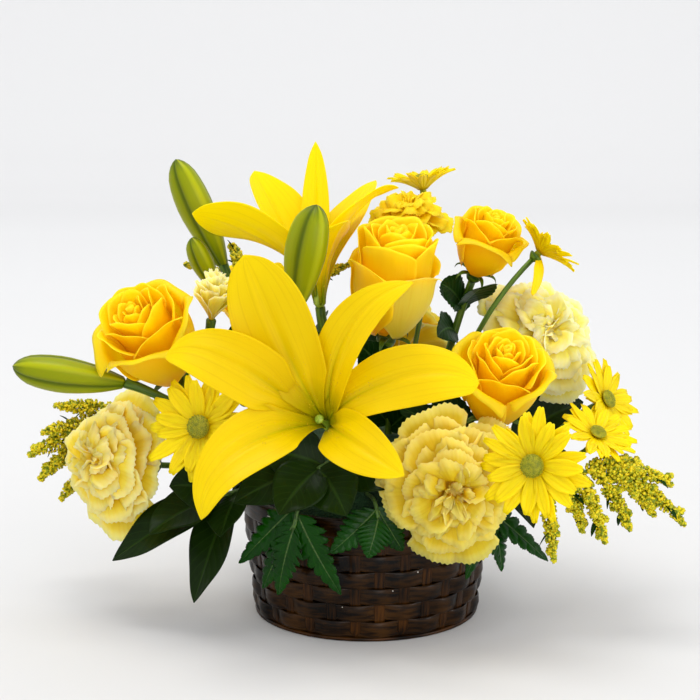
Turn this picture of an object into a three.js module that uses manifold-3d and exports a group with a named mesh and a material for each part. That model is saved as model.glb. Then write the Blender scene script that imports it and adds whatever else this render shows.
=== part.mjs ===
// A low woven basket of yellow cut flowers: two lilies with their buds, five roses, six carnations, daisies,
// goldenrod, fern and broad evergreen leaves, all standing in a block of wet foam inside a plastic liner.
// Millimetres, +Z up. The origin is the centre of the basket's underside, on the table, and -Y is the front.
import * as THREE from "three";
import { mergeVertices } from "three/addons/utils/BufferGeometryUtils.js";
import Module from "manifold-3d";

const wasm = await Module();
wasm.setup();

// ---------- driving dimensions ----------

const GAP = 0.35; // running gap that separate pieces keep

const BASKET = {
  footRadius: 66, // underside of the wall
  rimRadius: 74, // wall at the top
  height: 76,
  stakes: 30, // upright splints, an even number so that each weaver closes
  stakeWidth: 6,
  splint: 1, // thickness of every splint
  weavers: 6,
  weaverWidth: 9.7,
  firstWeaver: 7.4, // height of the lowest weaver's middle
  weaverPitch: 10.2,
  bulge: 2.4, // how far a weaver bows in and out past the stakes
  bulgeShift: 0.45, // and how much more of that is outwards
  floorHeight: 2,
  rimBand: 12.2,
};
const LINER = { radius: 60.5, rimRadius: 66, wall: 1.2, floor: 2.3, top: 72 };
const FOAM = { radius: 50, bottom: 3.9, top: 108, bevel: 5 };
const SINK = 15; // how deep a stem stands in the foam

const LILY = { width: 31, thickness: 0.9, cup: 5.5, funnel: 34 };
const BUD = { length: 66, radius: 10.6 };
const ROSE = { radius: 28, height: 50, thickness: 0.8 };
const CARNATION = { radius: 37, depth: 24 };
const DAISY = { radius: 28, disc: 6.4, eye: 2.4, rays: 12 };
const FERN = { pinnaWidth: 21, thickness: 0.7 };
const FLORET = 3.5;

// ---------- colours ----------

const paint = (color, roughness) => new THREE.MeshStandardMaterial({ color, roughness, metalness: 0 });
const COLOURS = {
  splint: paint(0x3b2113, 0.45),
  liner: paint(0x1c211b, 0.5),
  foam: paint(0x2f5a34, 0.9),
  lily: paint(0xf3d40a, 0.5),
  rose: paint(0xffc60a, 0.55),
  carnation: paint(0xf0dc7c, 0.7),
  carnationGold: paint(0xf5cf1e, 0.7),
  daisy: paint(0xf7dc08, 0.55),
  goldenrod: paint(0xb9b21a, 0.8),
  bud: paint(0x8fae1c, 0.45),
  stem: paint(0x44702a, 0.6),
  leaf: paint(0x20421d, 0.4),
  fern: paint(0x2a6224, 0.5),
};

// ---------- small helpers ----------

const V = (x, y, z) => new THREE.Vector3(x, y, z);
const TAU = 2 * Math.PI;
const rad = THREE.MathUtils.degToRad;
const lerp = THREE.MathUtils.lerp;
const spoke = (turn, radius, z) => V(radius * Math.cos(turn), radius * Math.sin(turn), z);

// A repeatable random number from 0 to 1, so that every build gives the same flowers.
function seeded(seed) {
  let state = seed * 7919 + 17;
  return () => {
    state = (state * 16807) % 2147483647;
    return state / 2147483647;
  };
}

// A three.js geometry as a manifold-3d solid, its faces turned outwards if they look inwards.
function solid(geometry) {
  const bare = geometry.index ? geometry.toNonIndexed() : geometry.clone();
  const points = new THREE.BufferGeometry().setAttribute("position", bare.getAttribute("position"));
  const merged = mergeVertices(points, 1e-3);
  const vertProperties = merged.attributes.position.array;
  const triVerts = new Uint32Array(merged.index.array);
  const body = new wasm.Manifold(new wasm.Mesh({ numProp: 3, vertProperties, triVerts }));
  if (body.volume() > 0) return body;
  return new wasm.Manifold(new wasm.Mesh({ numProp: 3, vertProperties, triVerts: triVerts.reverse() }));
}

const fuse = (pieces) => pieces.reduce((whole, piece) => whole.add(piece));

// The one largest body of a solid: what a cut or a wave leaves loose is dropped.
function largest(body) {
  return body.decompose().reduce((best, b) => (b.volume() > best.volume() ? b : best));
}

// A manifold-3d solid as a named mesh.
function node(name, body, material) {
  const { vertProperties, triVerts, numProp } = largest(body).getMesh();
  const count = vertProperties.length / numProp;
  const position = new Float32Array(count * 3);
  for (let i = 0; i < count; i++) position.set(vertProperties.subarray(i * numProp, i * numProp + 3), i * 3);
  const geometry = new THREE.BufferGeometry()
    .setAttribute("position", new THREE.BufferAttribute(position, 3))
    .setIndex(new THREE.BufferAttribute(triVerts, 1));
  geometry.computeVertexNormals();
  const mesh = new THREE.Mesh(geometry, material);
  mesh.name = name;
  return mesh;
}

// A thin blade: place(u, v) is its middle surface, u from 0 to 1 along it and v from -1 to 1 across it.
// Both faces are split into the same triangles, so that a waved blade keeps its thickness.
function blade(along, across, thickness, place) {
  const columns = across + 1;
  const count = (along + 1) * columns;
  const middle = [];
  for (let i = 0; i <= along; i++)
    for (let j = 0; j <= across; j++) middle.push(place(i / along, (2 * j) / across - 1));
  const at = (i, j) => middle[Math.min(Math.max(i, 0), along) * columns + Math.min(Math.max(j, 0), across)];
  const points = [...middle, ...middle].map((p, k) => {
    const [i, j] = [Math.floor((k % count) / columns), k % columns];
    const lengthwise = at(i + 1, j).clone().sub(at(i - 1, j));
    const crosswise = at(i, j + 1).clone().sub(at(i, j - 1));
    const normal = crosswise.cross(lengthwise).normalize();
    return p.clone().addScaledVector(normal, k < count ? thickness / 2 : -thickness / 2);
  });
  const faces = [];
  const quad = (a, b, c, d) => faces.push(a, b, c, a, c, d);
  for (let i = 0; i < along; i++)
    for (let j = 0; j < across; j++) {
      const a = i * columns + j;
      quad(a, a + 1, a + columns + 1, a + columns);
      faces.push(count + a, count + a + columns + 1, count + a + 1);
      faces.push(count + a, count + a + columns, count + a + columns + 1);
    }
  const border = [];
  for (let j = 0; j < across; j++) border.push([j, j + 1]);
  for (let i = 0; i < along; i++) border.push([(i + 1) * columns - 1, (i + 2) * columns - 1]);
  for (let j = across; j > 0; j--) border.push([along * columns + j, along * columns + j - 1]);
  for (let i = along; i > 0; i--) border.push([i * columns, (i - 1) * columns]);
  border.forEach(([a, b]) => quad(b, a, a + count, b + count));
  return solid(new THREE.BufferGeometry().setFromPoints(points).setIndex(faces));
}

// A tube of a polygon's section along a curve.
function tube(curve, radius, sides, steps) {
  const outline = [...Array(sides)].map((_, k) => {
    const turn = (TAU * k) / sides;
    return new THREE.Vector2(Math.cos(turn), Math.sin(turn)).multiplyScalar(radius);
  });
  const extrude = { extrudePath: curve, steps, bevelEnabled: false };
  return solid(new THREE.ExtrudeGeometry(new THREE.Shape(outline), extrude));
}

// A stretch of another curve, from one share of its length to another.
class Stretch extends THREE.Curve {
  constructor(curve, from, to) {
    super();
    Object.assign(this, { curve, from, to });
  }
  getPoint(t) {
    return this.curve.getPointAt(lerp(this.from, this.to, t));
  }
}

// A solid of revolution from [radius, height] pairs.
function turned(profile, sides) {
  const points = profile.map(([r, z]) => new THREE.Vector2(r, z));
  return solid(new THREE.LatheGeometry(points, sides).rotateX(Math.PI / 2));
}

// A closed surface from rows round the axis: place(row, k) gives each row's radius and height at step k.
function gathered(rows, steps, place) {
  const count = rows * steps;
  const points = [];
  for (let row = 0; row < rows; row++)
    for (let k = 0; k < steps; k++) {
      const [radius, z] = place(row, k);
      points.push(spoke((TAU * k) / steps, radius, z));
    }
  const middle = (row) => {
    const ring = points.slice(row * steps, (row + 1) * steps);
    return V(0, 0, ring.reduce((sum, p) => sum + p.z, 0) / steps);
  };
  points.push(middle(0), middle(rows - 1));
  const faces = [];
  for (let k = 0; k < steps; k++) {
    const next = (k + 1) % steps;
    for (let row = 0; row < rows - 1; row++) {
      const [a, b] = [row * steps + k, row * steps + next];
      faces.push(a, b, b + steps, a, b + steps, a + steps);
    }
    faces.push(count, next, k, count + 1, (rows - 1) * steps + k, (rows - 1) * steps + next);
  }
  return solid(new THREE.BufferGeometry().setFromPoints(points).setIndex(faces));
}

// Where a flower head sits: its origin at foot, its own +Z along facing, turned by roll about it.
function seat({ foot, facing, roll = 0 }) {
  const up = facing.clone().normalize();
  const turn = new THREE.Quaternion().setFromUnitVectors(V(0, 0, 1), up);
  turn.multiply(new THREE.Quaternion().setFromAxisAngle(V(0, 0, 1), rad(roll)));
  return new THREE.Matrix4().compose(foot, turn, V(1, 1, 1));
}

const moved = (body, matrix) => body.transform(matrix.elements);

// ---------- basket ----------

const slope = (BASKET.rimRadius - BASKET.footRadius) / BASKET.height;
const wallRadius = (z) => BASKET.footRadius + slope * z;

// The base disc and the upright stakes, which turn up out of it. The disc's edge has a flat for each stake.
function stakes() {
  const { footRadius, floorHeight, height, splint, stakeWidth } = BASKET;
  const upright = new THREE.BoxGeometry(splint, stakeWidth, height - 1.4).translate(0, 0, (height - 1.4) / 2);
  upright.rotateY(Math.atan(slope)).translate(footRadius, 0, 0.6);
  const edge = footRadius / Math.cos(Math.PI / BASKET.stakes);
  const floor = new THREE.CylinderGeometry(edge, edge, floorHeight, BASKET.stakes).rotateX(Math.PI / 2);
  floor.rotateZ(Math.PI / BASKET.stakes).translate(0, 0, floorHeight / 2);
  const ring = [...Array(BASKET.stakes)].map((_, k) =>
    solid(upright.clone().rotateZ((TAU * k) / BASKET.stakes)),
  );
  return fuse([solid(floor), ...ring]);
}

// One horizontal splint that passes outside one stake and inside the next, all the way round.
function weaver(row) {
  const z = BASKET.firstWeaver + row * BASKET.weaverPitch;
  const corner = (k, side, end) => {
    const outside = (k + row) % 2 ? 1 : -1;
    const height = z + (end * BASKET.weaverWidth) / 2;
    const radius = wallRadius(height) + BASKET.bulgeShift + outside * BASKET.bulge + (side * BASKET.splint) / 2;
    return spoke((TAU * k) / BASKET.stakes, radius, height);
  };
  return ringOf(BASKET.stakes, corner);
}

// A closed band round the axis. corner(k, side, end) is its section's corner at step k: side is 1 for the outer
// face and -1 for the inner one, and end is 1 at the top and -1 at the bottom.
function ringOf(steps, corner) {
  const points = [];
  for (let k = 0; k < steps; k++)
    points.push(corner(k, 1, -1), corner(k, 1, 1), corner(k, -1, 1), corner(k, -1, -1));
  const faces = [];
  for (let k = 0; k < steps; k++)
    for (let c = 0; c < 4; c++) {
      const [a, b] = [4 * k + c, 4 * k + ((c + 1) % 4)];
      const next = (i) => (i + 4) % points.length;
      faces.push(a, next(a), next(b), a, next(b), b);
    }
  return solid(new THREE.BufferGeometry().setFromPoints(points).setIndex(faces));
}

// The band that binds the stakes' tops on the outside.
function rim() {
  const low = BASKET.height - BASKET.rimBand;
  return ringOf(BASKET.stakes, (k, side, end) => {
    const z = end < 0 ? low : BASKET.height;
    const inner = wallRadius(z) + BASKET.splint / 2 + 0.6;
    return spoke((TAU * k) / BASKET.stakes, side < 0 ? inner : inner + 2.2, z);
  });
}

// The plastic tray that holds the water.
function liner() {
  const { radius, rimRadius, wall, floor, top } = LINER;
  const profile = [
    [0, floor],
    [radius - 2, floor],
    [rimRadius, top],
    [rimRadius - wall, top],
    [radius - 2 - wall, floor + wall],
    [0, floor + wall],
  ];
  return turned(profile, 18);
}

// ---------- foam, and the stems that stand in it ----------

const stemHoles = [];

// A place on the foam's side, at a bearing in degrees from +X, or on its top.
const atSide = (bearing, z) => {
  const out = spoke(rad(bearing), 1, 0);
  return { entry: out.clone().multiplyScalar(FOAM.radius).setZ(z), into: out.multiplyScalar(-1).setZ(-0.3) };
};
const atTop = (x, y) => ({ entry: V(x, y, FOAM.top), into: V(-x * 0.006, -y * 0.006, -1) });

// A stalk of equal steps along a curve that starts inside the foam, and the plain hole that it stands in.
function planted(curve, radius, sides, steps) {
  const inside = Math.min(steps, Math.ceil((SINK + 5) / (curve.getLength() / steps)));
  const clear = radius + GAP / Math.cos(Math.PI / sides);
  stemHoles.push(tube(new Stretch(curve, 0, inside / steps), clear, sides, inside));
  return tube(new Stretch(curve, 0.012, 1), radius, sides, steps);
}

// A stem from its hole in the foam to the foot of its flower, which it meets along the flower's own axis.
function stem({ entry, into }, foot, arriving, radius, steps = 5) {
  const inward = into.clone().normalize();
  const start = entry.clone().addScaledVector(inward, SINK);
  const distance = start.distanceTo(foot);
  const reach = distance * (distance > 60 ? 0.42 : 0.25);
  const curve = new THREE.CubicBezierCurve3(
    start,
    start.clone().addScaledVector(inward, -Math.max(reach, SINK + 4)),
    foot.clone().addScaledVector(arriving.clone().normalize(), -reach * 0.8),
    foot,
  );
  return { curve, body: planted(curve, radius, 5, steps) };
}

// The curve of a frond, spray or twig from inside the foam through the given points.
function runner({ entry, into }, points) {
  const inward = into.clone().normalize();
  return new THREE.CatmullRomCurve3([
    entry.clone().addScaledVector(inward, SINK),
    entry.clone().addScaledVector(inward, -4),
    ...points,
  ]);
}

function foam() {
  const { radius, bottom, top, bevel } = FOAM;
  const profile = [
    [0, bottom],
    [radius - 2, bottom],
    [radius, bottom + 2],
    [radius, top - bevel],
    [radius - bevel, top],
    [0, top],
  ];
  return turned(profile, 16).subtract(fuse(stemHoles));
}

// ---------- leaves ----------

// A leaf bent over rise on its way: side points across it, and fold raises its edges.
function leafBlade({ from, to, rise, side, halfWidth, along = 3, across = 2, fold = 0.16, thickness = 0.7 }) {
  const bend = new THREE.QuadraticBezierCurve3(from, from.clone().lerp(to, 0.5).add(rise), to);
  return blade(along, across, thickness, (u, v) => {
    const tangent = bend.getTangent(u);
    const crosswise = side.clone().addScaledVector(tangent, -side.dot(tangent)).normalize();
    const up = crosswise.clone().cross(tangent).normalize();
    const half = halfWidth(u, v);
    return bend.getPoint(u).addScaledVector(crosswise, v * half).addScaledVector(up, fold * half * v * v);
  });
}

const ovate = (half) => (u) => Math.max(0.5, half * Math.sin(Math.PI * u ** 0.8) ** 0.8);

// Plain leaves on a curve, as [place along it, tip]; each one's upper face looks up and to the front.
function foliage(curve, leaves, half, lie = 55) {
  return leaves.map(([t, to]) => {
    const from = curve.getPointAt(t);
    const side = to.clone().sub(from).cross(V((to.x * lie) / 55, to.y - 100 + lie, lie)).normalize();
    return leafBlade({ from, to, rise: V(0, 0, 6), side, halfWidth: ovate(half), along: half > 12 ? 3 : 2 });
  });
}

// A fern leaflet's half width, from a narrow foot: odd rows stand out as teeth, with notches between them.
function toothed(half, teeth) {
  return (u) => {
    const outline = half * Math.min(1, 0.1 + 3.6 * u) * (1 - u) ** 0.7;
    const tooth = Math.round(u * 2 * teeth) % 2 ? 1 : 0.66;
    return Math.max(0.5, outline * tooth);
  };
}

// A frond: a midrib through the given points, and toothed leaflets as [place along the midrib, tip].
function frond(place, points, leaflets, width = FERN.pinnaWidth) {
  const rib = runner(place, points);
  const blades = leaflets.map(([t, to]) => {
    const [from, tangent] = [rib.getPointAt(t), rib.getTangentAt(t)];
    const reach = to.clone().sub(from);
    const side = reach.clone().cross(V(from.x, from.y, 40)).normalize();
    return leafBlade({
      from: from.addScaledVector(tangent, t === 1 ? -1 : 0),
      to,
      rise: V(from.x, from.y, 0).setLength(5),
      side,
      halfWidth: toothed(width / 2, 3),
      along: 6,
      across: 1,
      fold: 0,
      thickness: FERN.thickness,
    });
  });
  return fuse([planted(rib, 1.2, 4, 5), ...blades]);
}

// ---------- lily ----------

// One tepal from the foot of the flower to its tip: it rises as a funnel round the axis and then arches over.
// bow shifts its middle, twist turns it about its own length, and outer tepals start further from the axis.
function tepal(foot, axis, shape) {
  const { tip, arch = 30, width = LILY.width, outer = false, bow = V(0, 0, 0), twist = 0 } = shape;
  const rise = tip.clone().sub(foot);
  const away = rise.clone().addScaledVector(axis, -rise.dot(axis)).normalize();
  const path = new THREE.CubicBezierCurve3(
    foot.clone().addScaledVector(away, outer ? 3.4 : 2).addScaledVector(axis, 2),
    foot
      .clone()
      .addScaledVector(away, outer ? 5 : 1.5)
      .addScaledVector(axis, LILY.funnel * (outer ? 0.85 : 1)),
    tip.clone().addScaledVector(axis, arch).addScaledVector(rise, -0.3).add(bow),
    tip,
  );
  return blade(5, 2, LILY.thickness, (u, v) => {
    const middle = path.getPoint(u);
    const radial = middle.clone().sub(foot);
    radial.addScaledVector(axis, -radial.dot(axis));
    const half = Math.max(1, (width / 2) * Math.sin(Math.PI * Math.min(1, 0.06 + 0.95 * u ** 1.15)) ** 0.62);
    const turn = v * Math.min(0.8, half / Math.max(radial.length(), 1));
    const across = radial.clone().applyAxisAngle(axis, turn).sub(radial);
    across.applyAxisAngle(path.getTangent(u), rad(twist) * u);
    return middle.add(across).addScaledVector(axis, LILY.cup * v * v * u * (1 - u));
  });
}

function lilyBloom({ foot, facing, tepals, pistil }) {
  const axis = facing.clone().normalize();
  const style = [[1.4, 9], [1.4, pistil], [2.6, pistil + 3], [0, pistil + 4]];
  const heart = turned([[0, 0], [3.2, 0.6], [4.6, 5], ...style], 6);
  return fuse([moved(heart, seat({ foot, facing: axis })), ...tepals.map((t) => tepal(foot, axis, t))]);
}

// A closed bud, three-cornered with a groove down the middle of each side.
function lilyBud(foot, tip) {
  const facing = tip.clone().sub(foot);
  const length = facing.length();
  const radius = BUD.radius * Math.min(1, length / BUD.length + 0.12);
  const profile = [[0, -0.03], [0.34, 0], [0.78, 0.25], [1, 0.55], [0.8, 0.86], [0, 1]];
  const geometry = new THREE.LatheGeometry(
    profile.map(([r, z]) => new THREE.Vector2(r * radius, z * length)),
    6,
  ).rotateX(Math.PI / 2);
  const position = geometry.attributes.position;
  for (let i = 0; i < position.count; i++) {
    const [x, y] = [position.getX(i), position.getY(i)];
    const groove = 1 - 0.09 * (1 + Math.cos(3 * Math.atan2(y, x)));
    position.setXY(i, x * groove, y * groove);
  }
  return moved(solid(geometry), seat({ foot, facing }));
}

// A side stalk that leaves another stem's curve at t and ends at a bud or head.
function stalk(curve, t, to, arriving, radius, steps = 4) {
  const from = curve.getPoint(t);
  const reach = from.distanceTo(to) * 0.4;
  const path = new THREE.CubicBezierCurve3(
    from,
    from.clone().addScaledVector(curve.getTangent(t), reach),
    to.clone().addScaledVector(arriving.clone().normalize(), -reach),
    to,
  );
  return { curve: path, body: tube(path, radius, 5, steps) };
}

// ---------- rose ----------

// A furled heart with lobed lips, and petals in threes round it, each layer wider and lower than the last. Each
// petal has one edge outside its neighbour's and the other edge inside, so that they overlap without touching.
function roseBloom({ foot, facing, roll, size = 1, tall = 1, open = 1, layers = 2 }, seed) {
  const random = seeded(seed);
  const height = ROSE.height * size * tall;
  const full = ROSE.radius * size;
  const heart = [
    [0.44, 0],
    [0.44, 0.06],
    [0.2, 0.06],
    [0.42, 0.5],
    [0.44, 0.93, 1],
    [0.3, 0.84, 1],
    [0.27, 0.98, 1],
    [0.12, 0.86],
  ];
  const furled = gathered(heart.length, 6, (row, k) => {
    const [radius, z, lip = 0] = heart[row];
    const lobe = (k + row) % 2 ? 0.04 : -0.04;
    return [full * (radius + lip * lobe), height * (z - lip * lobe)];
  });
  const parts = [furled];
  for (let layer = 0; layer < layers; layer++)
    for (let k = 0; k < 3; k++) {
      const middle = (k * TAU) / 3 + (layer + 1) * rad(62) + (random() - 0.5) * 0.2;
      const top = height * (layer ? 0.84 : 0.92) * (1 - 0.05 * random());
      const root = full * (layer ? 0.4 : 0.3);
      const belly = full * (layer ? 0.8 : 0.64);
      const flare = full * (layer ? 0.24 : 0.13) * open;
      const curl = height * (layer ? 0.2 : 0.1) * open;
      parts.push(
        blade(3, 2, ROSE.thickness, (u, v) => {
          const lip = Math.max(0, u - 0.66) / 0.34;
          const corner = Math.abs(v) ** 2.2;
          const swell = Math.sin(Math.min(1, u * 1.7) * (Math.PI / 2));
          const tuck = v * 1.3 * Math.min(1, u * 3);
          const radius = lerp(root, belly, swell) + flare * lip * (1 + 0.25 * corner) + tuck;
          const z = top * (0.025 + 0.975 * u) - curl * lip ** 2 - corner * top * 0.2 * u;
          return spoke(middle + v * 1.08 * Math.min(1, 0.28 + 2.4 * u) * (1 - 0.25 * u * u), radius, z);
        }),
      );
    }
  return moved(fuse(parts), seat({ foot, facing, roll }));
}

// A thin star round the axis: each ray has a valley on either side, two shoulders and a tip, as radii.
// lift(radius, k) is its height, and eye is the radius of the hole in its middle.
function star({ count, eye, valley, shoulder, tip, half, thickness, lift }) {
  const points = [];
  const step = TAU / count;
  for (const side of [thickness / 2, -thickness / 2])
    for (let k = 0; k < count; k++) {
      const [reach, turn] = [tip(k), k * step];
      const at = (angle, radius) => spoke(angle, radius, lift(radius / reach, k) + side);
      points.push(at(turn - step / 2, eye), at(turn - step / 2, valley));
      points.push(at(turn - half, shoulder * reach), at(turn, reach), at(turn + half, shoulder * reach));
    }
  const faces = [];
  const under = 5 * count;
  for (let k = 0; k < count; k++) {
    const [e, a, b, t, c] = [0, 1, 2, 3, 4].map((i) => 5 * k + i);
    const [e2, a2] = [0, 1].map((i) => 5 * ((k + 1) % count) + i);
    [[e, a, a2], [e, a2, e2], [a, b, c], [a, c, a2], [b, t, c]].forEach(([p, q, r]) =>
      faces.push(p, q, r, p + under, r + under, q + under),
    );
    [[a, b], [b, t], [t, c], [c, a2], [e2, e]].forEach(([p, q]) =>
      faces.push(q, p, p + under, q, p + under, q + under),
    );
  }
  return solid(new THREE.BufferGeometry().setFromPoints(points).setIndex(faces));
}

// The green cup under a bloom, with its five pointed sepals turned down.
function calyx({ foot, facing, roll }, radius, length, spread) {
  const steps = 10;
  const rows = [
    () => [0.4 * radius, -length],
    () => [radius, -0.5 * length],
    (k) => (k % 2 ? [radius, -0.22 * length] : [spread, -0.62 * length]),
    () => [0.9 * radius, -GAP],
  ];
  return moved(gathered(rows.length, steps, (row, k) => rows[row](k)), seat({ foot, facing, roll }));
}

// ---------- carnation ----------

// Crowded petals with a cut, waved edge. They open in layers from the middle outwards, with a deep fold between
// one layer's lip and the next, and every lip is cut into petals that rise and fall.
// An upright one has its petals drawn up like a brush.
function carnationBloom({ foot, facing, roll, size = 1, petals = 8, upright = 0 }, seed) {
  const random = seeded(seed);
  const [full, depth] = [CARNATION.radius * size * (1 - 0.2 * upright), CARNATION.depth * size];
  const rows = [
    { radius: 0.14, z: 0 },
    { radius: 1, z: 0.5, lip: 1 },
    { radius: 0.95, z: 0.62, lip: 1 },
    { radius: 0.6, z: 0.6, lip: 0.3 },
    { radius: 0.8, z: 1.02, lip: 0.9 },
    { radius: 0.4, z: 0.86, lip: 0.3 },
    { radius: 0.46, z: 1.32, lip: 0.8 },
    { radius: 0.2, z: 1.2, lip: 1 },
  ];
  const steps = 2 * petals;
  const wander = rows.map(() => [...Array(steps)].map(() => random() - 0.5));
  const body = gathered(rows.length, steps, (row, k) => {
    const { radius, z, lip = 0 } = rows[row];
    const edge = row === 2 ? 1 : row; // the outer lip's two rows move together
    const cutIn = (k + edge) % 2 ? 1 : -1;
    const stray = wander[edge][k];
    return [
      full * radius * (1 + lip * (0.05 * cutIn + 0.12 * stray)),
      depth * (z + upright * Math.min(1, 2 * z) + lip * (0.12 * cutIn + 0.18 * stray)),
    ];
  });
  return moved(body, seat({ foot, facing, roll }));
}

// The long green tube that a carnation's petals stand in.
function carnationTube({ foot, facing, roll, size = 1 }, length = 20) {
  const radius = 6.5 * size;
  const profile = [
    [0, -length],
    [radius * 0.5, -length],
    [radius * 0.95, -length * 0.7],
    [radius, -GAP],
    [0, -GAP],
  ];
  return moved(turned(profile, 6), seat({ foot, facing, roll }));
}

// ---------- daisy ----------

// A ring of rays, open in the middle where the stem's disc comes through.
function daisyBloom({ foot, facing, roll, size = 1, cup = 0.3 }, seed) {
  const random = seeded(seed);
  const wander = [...Array(DAISY.rays)].map(() => random());
  const radius = DAISY.radius * size;
  const body = star({
    count: DAISY.rays,
    eye: DAISY.eye + GAP,
    valley: DAISY.disc * 0.95 * size,
    shoulder: 0.78,
    tip: (k) => radius * lerp(0.9, 1.04, wander[k]),
    half: (0.8 * Math.PI) / DAISY.rays,
    thickness: 0.8,
    lift: (share, k) => {
      const stray = 0.14 * share * (wander[(k + 3) % DAISY.rays] - 0.5);
      return radius * share * (cup * (1 - 0.35 * share) + stray);
    },
  });
  return moved(body, seat({ foot, facing, roll }));
}

// The green button under a daisy, the neck through its rays and the domed disc in front of them.
function daisyDisc({ foot, facing, size = 1, cup = 0.3 }) {
  const under = -0.4 - GAP;
  const seatHeight = 0.75 + GAP + cup * DAISY.eye * 2;
  const disc = DAISY.disc * 0.9 * size;
  const profile = [
    [0, -4.4],
    [4.2 * size, under - 0.5],
    [DAISY.eye - 0.3, under],
    [DAISY.eye - 0.3, seatHeight],
    [disc, seatHeight + cup * disc + 0.6],
    [0, seatHeight + cup * disc + 3.4 * size],
  ];
  return moved(turned(profile, 6), seat({ foot, facing }));
}

// ---------- goldenrod ----------

// Arching branchlets off a main stalk, each crowded with small heads as a knobbly string.
function goldenrod(place, points, branchlets, seed) {
  const random = seeded(seed);
  const main = runner(place, points);
  const strings = branchlets.map(([t, tip]) => {
    const from = main.getPointAt(t);
    const crest = from.clone().lerp(tip, 0.55).add(V(0, 0, 8));
    return knobbly(new THREE.QuadraticBezierCurve3(from, crest, tip), random);
  });
  return fuse([planted(main, 1.4, 4, 6), ...strings]);
}

// A four-sided string along a curve whose rings swell and shrink at random.
function knobbly(curve, random) {
  const steps = Math.max(4, Math.round(curve.getLength() / (FLORET * 4)));
  const [sides, frames] = [4, curve.computeFrenetFrames(steps, false)];
  const points = [];
  for (let i = 0; i <= steps; i++)
    for (let k = 0; k < sides; k++) {
      const turn = (TAU * (k + 0.5 * (i % 2))) / sides;
      const swell = i ? FLORET * lerp(0.4, 1.5, random()) : 1;
      const at = curve.getPointAt(i / steps).addScaledVector(frames.normals[i], swell * Math.cos(turn));
      points.push(at.addScaledVector(frames.binormals[i], swell * Math.sin(turn)));
    }
  const last = steps * sides;
  const faces = [0, 2, 1, 0, 3, 2, last, last + 1, last + 2, last, last + 2, last + 3];
  for (let i = 0; i < steps; i++)
    for (let k = 0; k < sides; k++) {
      const [a, b] = [i * sides + k, i * sides + ((k + 1) % sides)];
      faces.push(a, b, b + sides, a, b + sides, a + sides);
    }
  return solid(new THREE.BufferGeometry().setFromPoints(points).setIndex(faces));
}

// ---------- the arrangement ----------

const part = new THREE.Group();
const add = (name, body, material) => part.add(node(name, body, material));

// Lilies. The big one at the front looks at the viewer, and its tepals are placed by their tips.
const lilyFront = {
  foot: V(-21, -68, 129),
  facing: V(-0.34, -0.84, 0.42),
  pistil: 16,
  tepals: [
    { tip: V(-68, -92, 231), width: 47, arch: 6 },
    { tip: V(24, -112, 219), width: 30, arch: 14, outer: true, bow: V(-26, 0, 12) },
    { tip: V(60, -118, 165), width: 34, arch: 16, bow: V(0, 0, 24) },
    { tip: V(19, -138, 118), width: 32, arch: 18, outer: true },
    { tip: V(-91, -128, 91), width: 37, arch: 20, bow: V(-18, 0, 22) },
    { tip: V(-111, -104, 177), width: 37, arch: 22, outer: true, bow: V(0, 0, 26) },
  ],
};
const lilyBack = {
  foot: V(-28, 12, 184),
  facing: V(-0.1, -0.05, 1),
  pistil: 48,
  tepals: [
    { tip: V(-103, -6, 243), width: 40, arch: 16, twist: 50 },
    { tip: V(-68, 34, 264), width: 40, arch: 4, outer: true },
    { tip: V(-31, 42, 281), width: 18, arch: 2 },
    { tip: V(6, 54, 256), width: 30, arch: 14, outer: true },
    { tip: V(19, 14, 256), width: 32, arch: 26, twist: -30 },
    { tip: V(-12, -16, 240), width: 34, arch: 12, outer: true },
  ],
};
const below = ({ foot, facing }, drop) => foot.clone().addScaledVector(facing.clone().normalize(), -drop);
const frontStem = stem(atTop(-8, -32), below(lilyFront, GAP), lilyFront.facing, 3.2);
const centreBud = [V(-41, -30, 192), V(-29, -36, 252)];
const centreStalk = stalk(frontStem.curve, 0.55, centreBud[0], V(0, 0, 1), 2);
add("lily_front_stem", fuse([frontStem.body, centreStalk.body, lilyBud(...centreBud)]), COLOURS.bud);
add("lily_front_bloom", lilyBloom(lilyFront), COLOURS.lily);

const backStem = stem(atTop(-12, 8), below(lilyBack, GAP), lilyBack.facing, 3.2);
const upperBud = [V(-87, 22, 209), V(-115, 26, 272)];
const lowerBud = [V(-90, 4, 196), V(-104, 0, 228)];
const upperStalk = stalk(backStem.curve, 0.62, upperBud[0], V(-0.3, 0, 1), 2);
const lowerStalk = stalk(upperStalk.curve, 0.55, lowerBud[0], V(-0.3, 0, 1), 1.8, 3);
add(
  "lily_back_stem",
  fuse([backStem.body, upperStalk.body, lowerStalk.body, lilyBud(...upperBud), lilyBud(...lowerBud)]),
  COLOURS.bud,
);
add("lily_back_bloom", lilyBloom(lilyBack), COLOURS.lily);

const leftBud = [V(-143, -32, 147), V(-207, -34, 157)];
const leftStem = stem(atSide(200, 98), leftBud[0].clone().add(V(1.5, 0, 0)), V(-1, 0, 0.35), 2.2);
add("lily_left_bud", leftStem.body.add(lilyBud(...leftBud)), COLOURS.bud);

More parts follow.
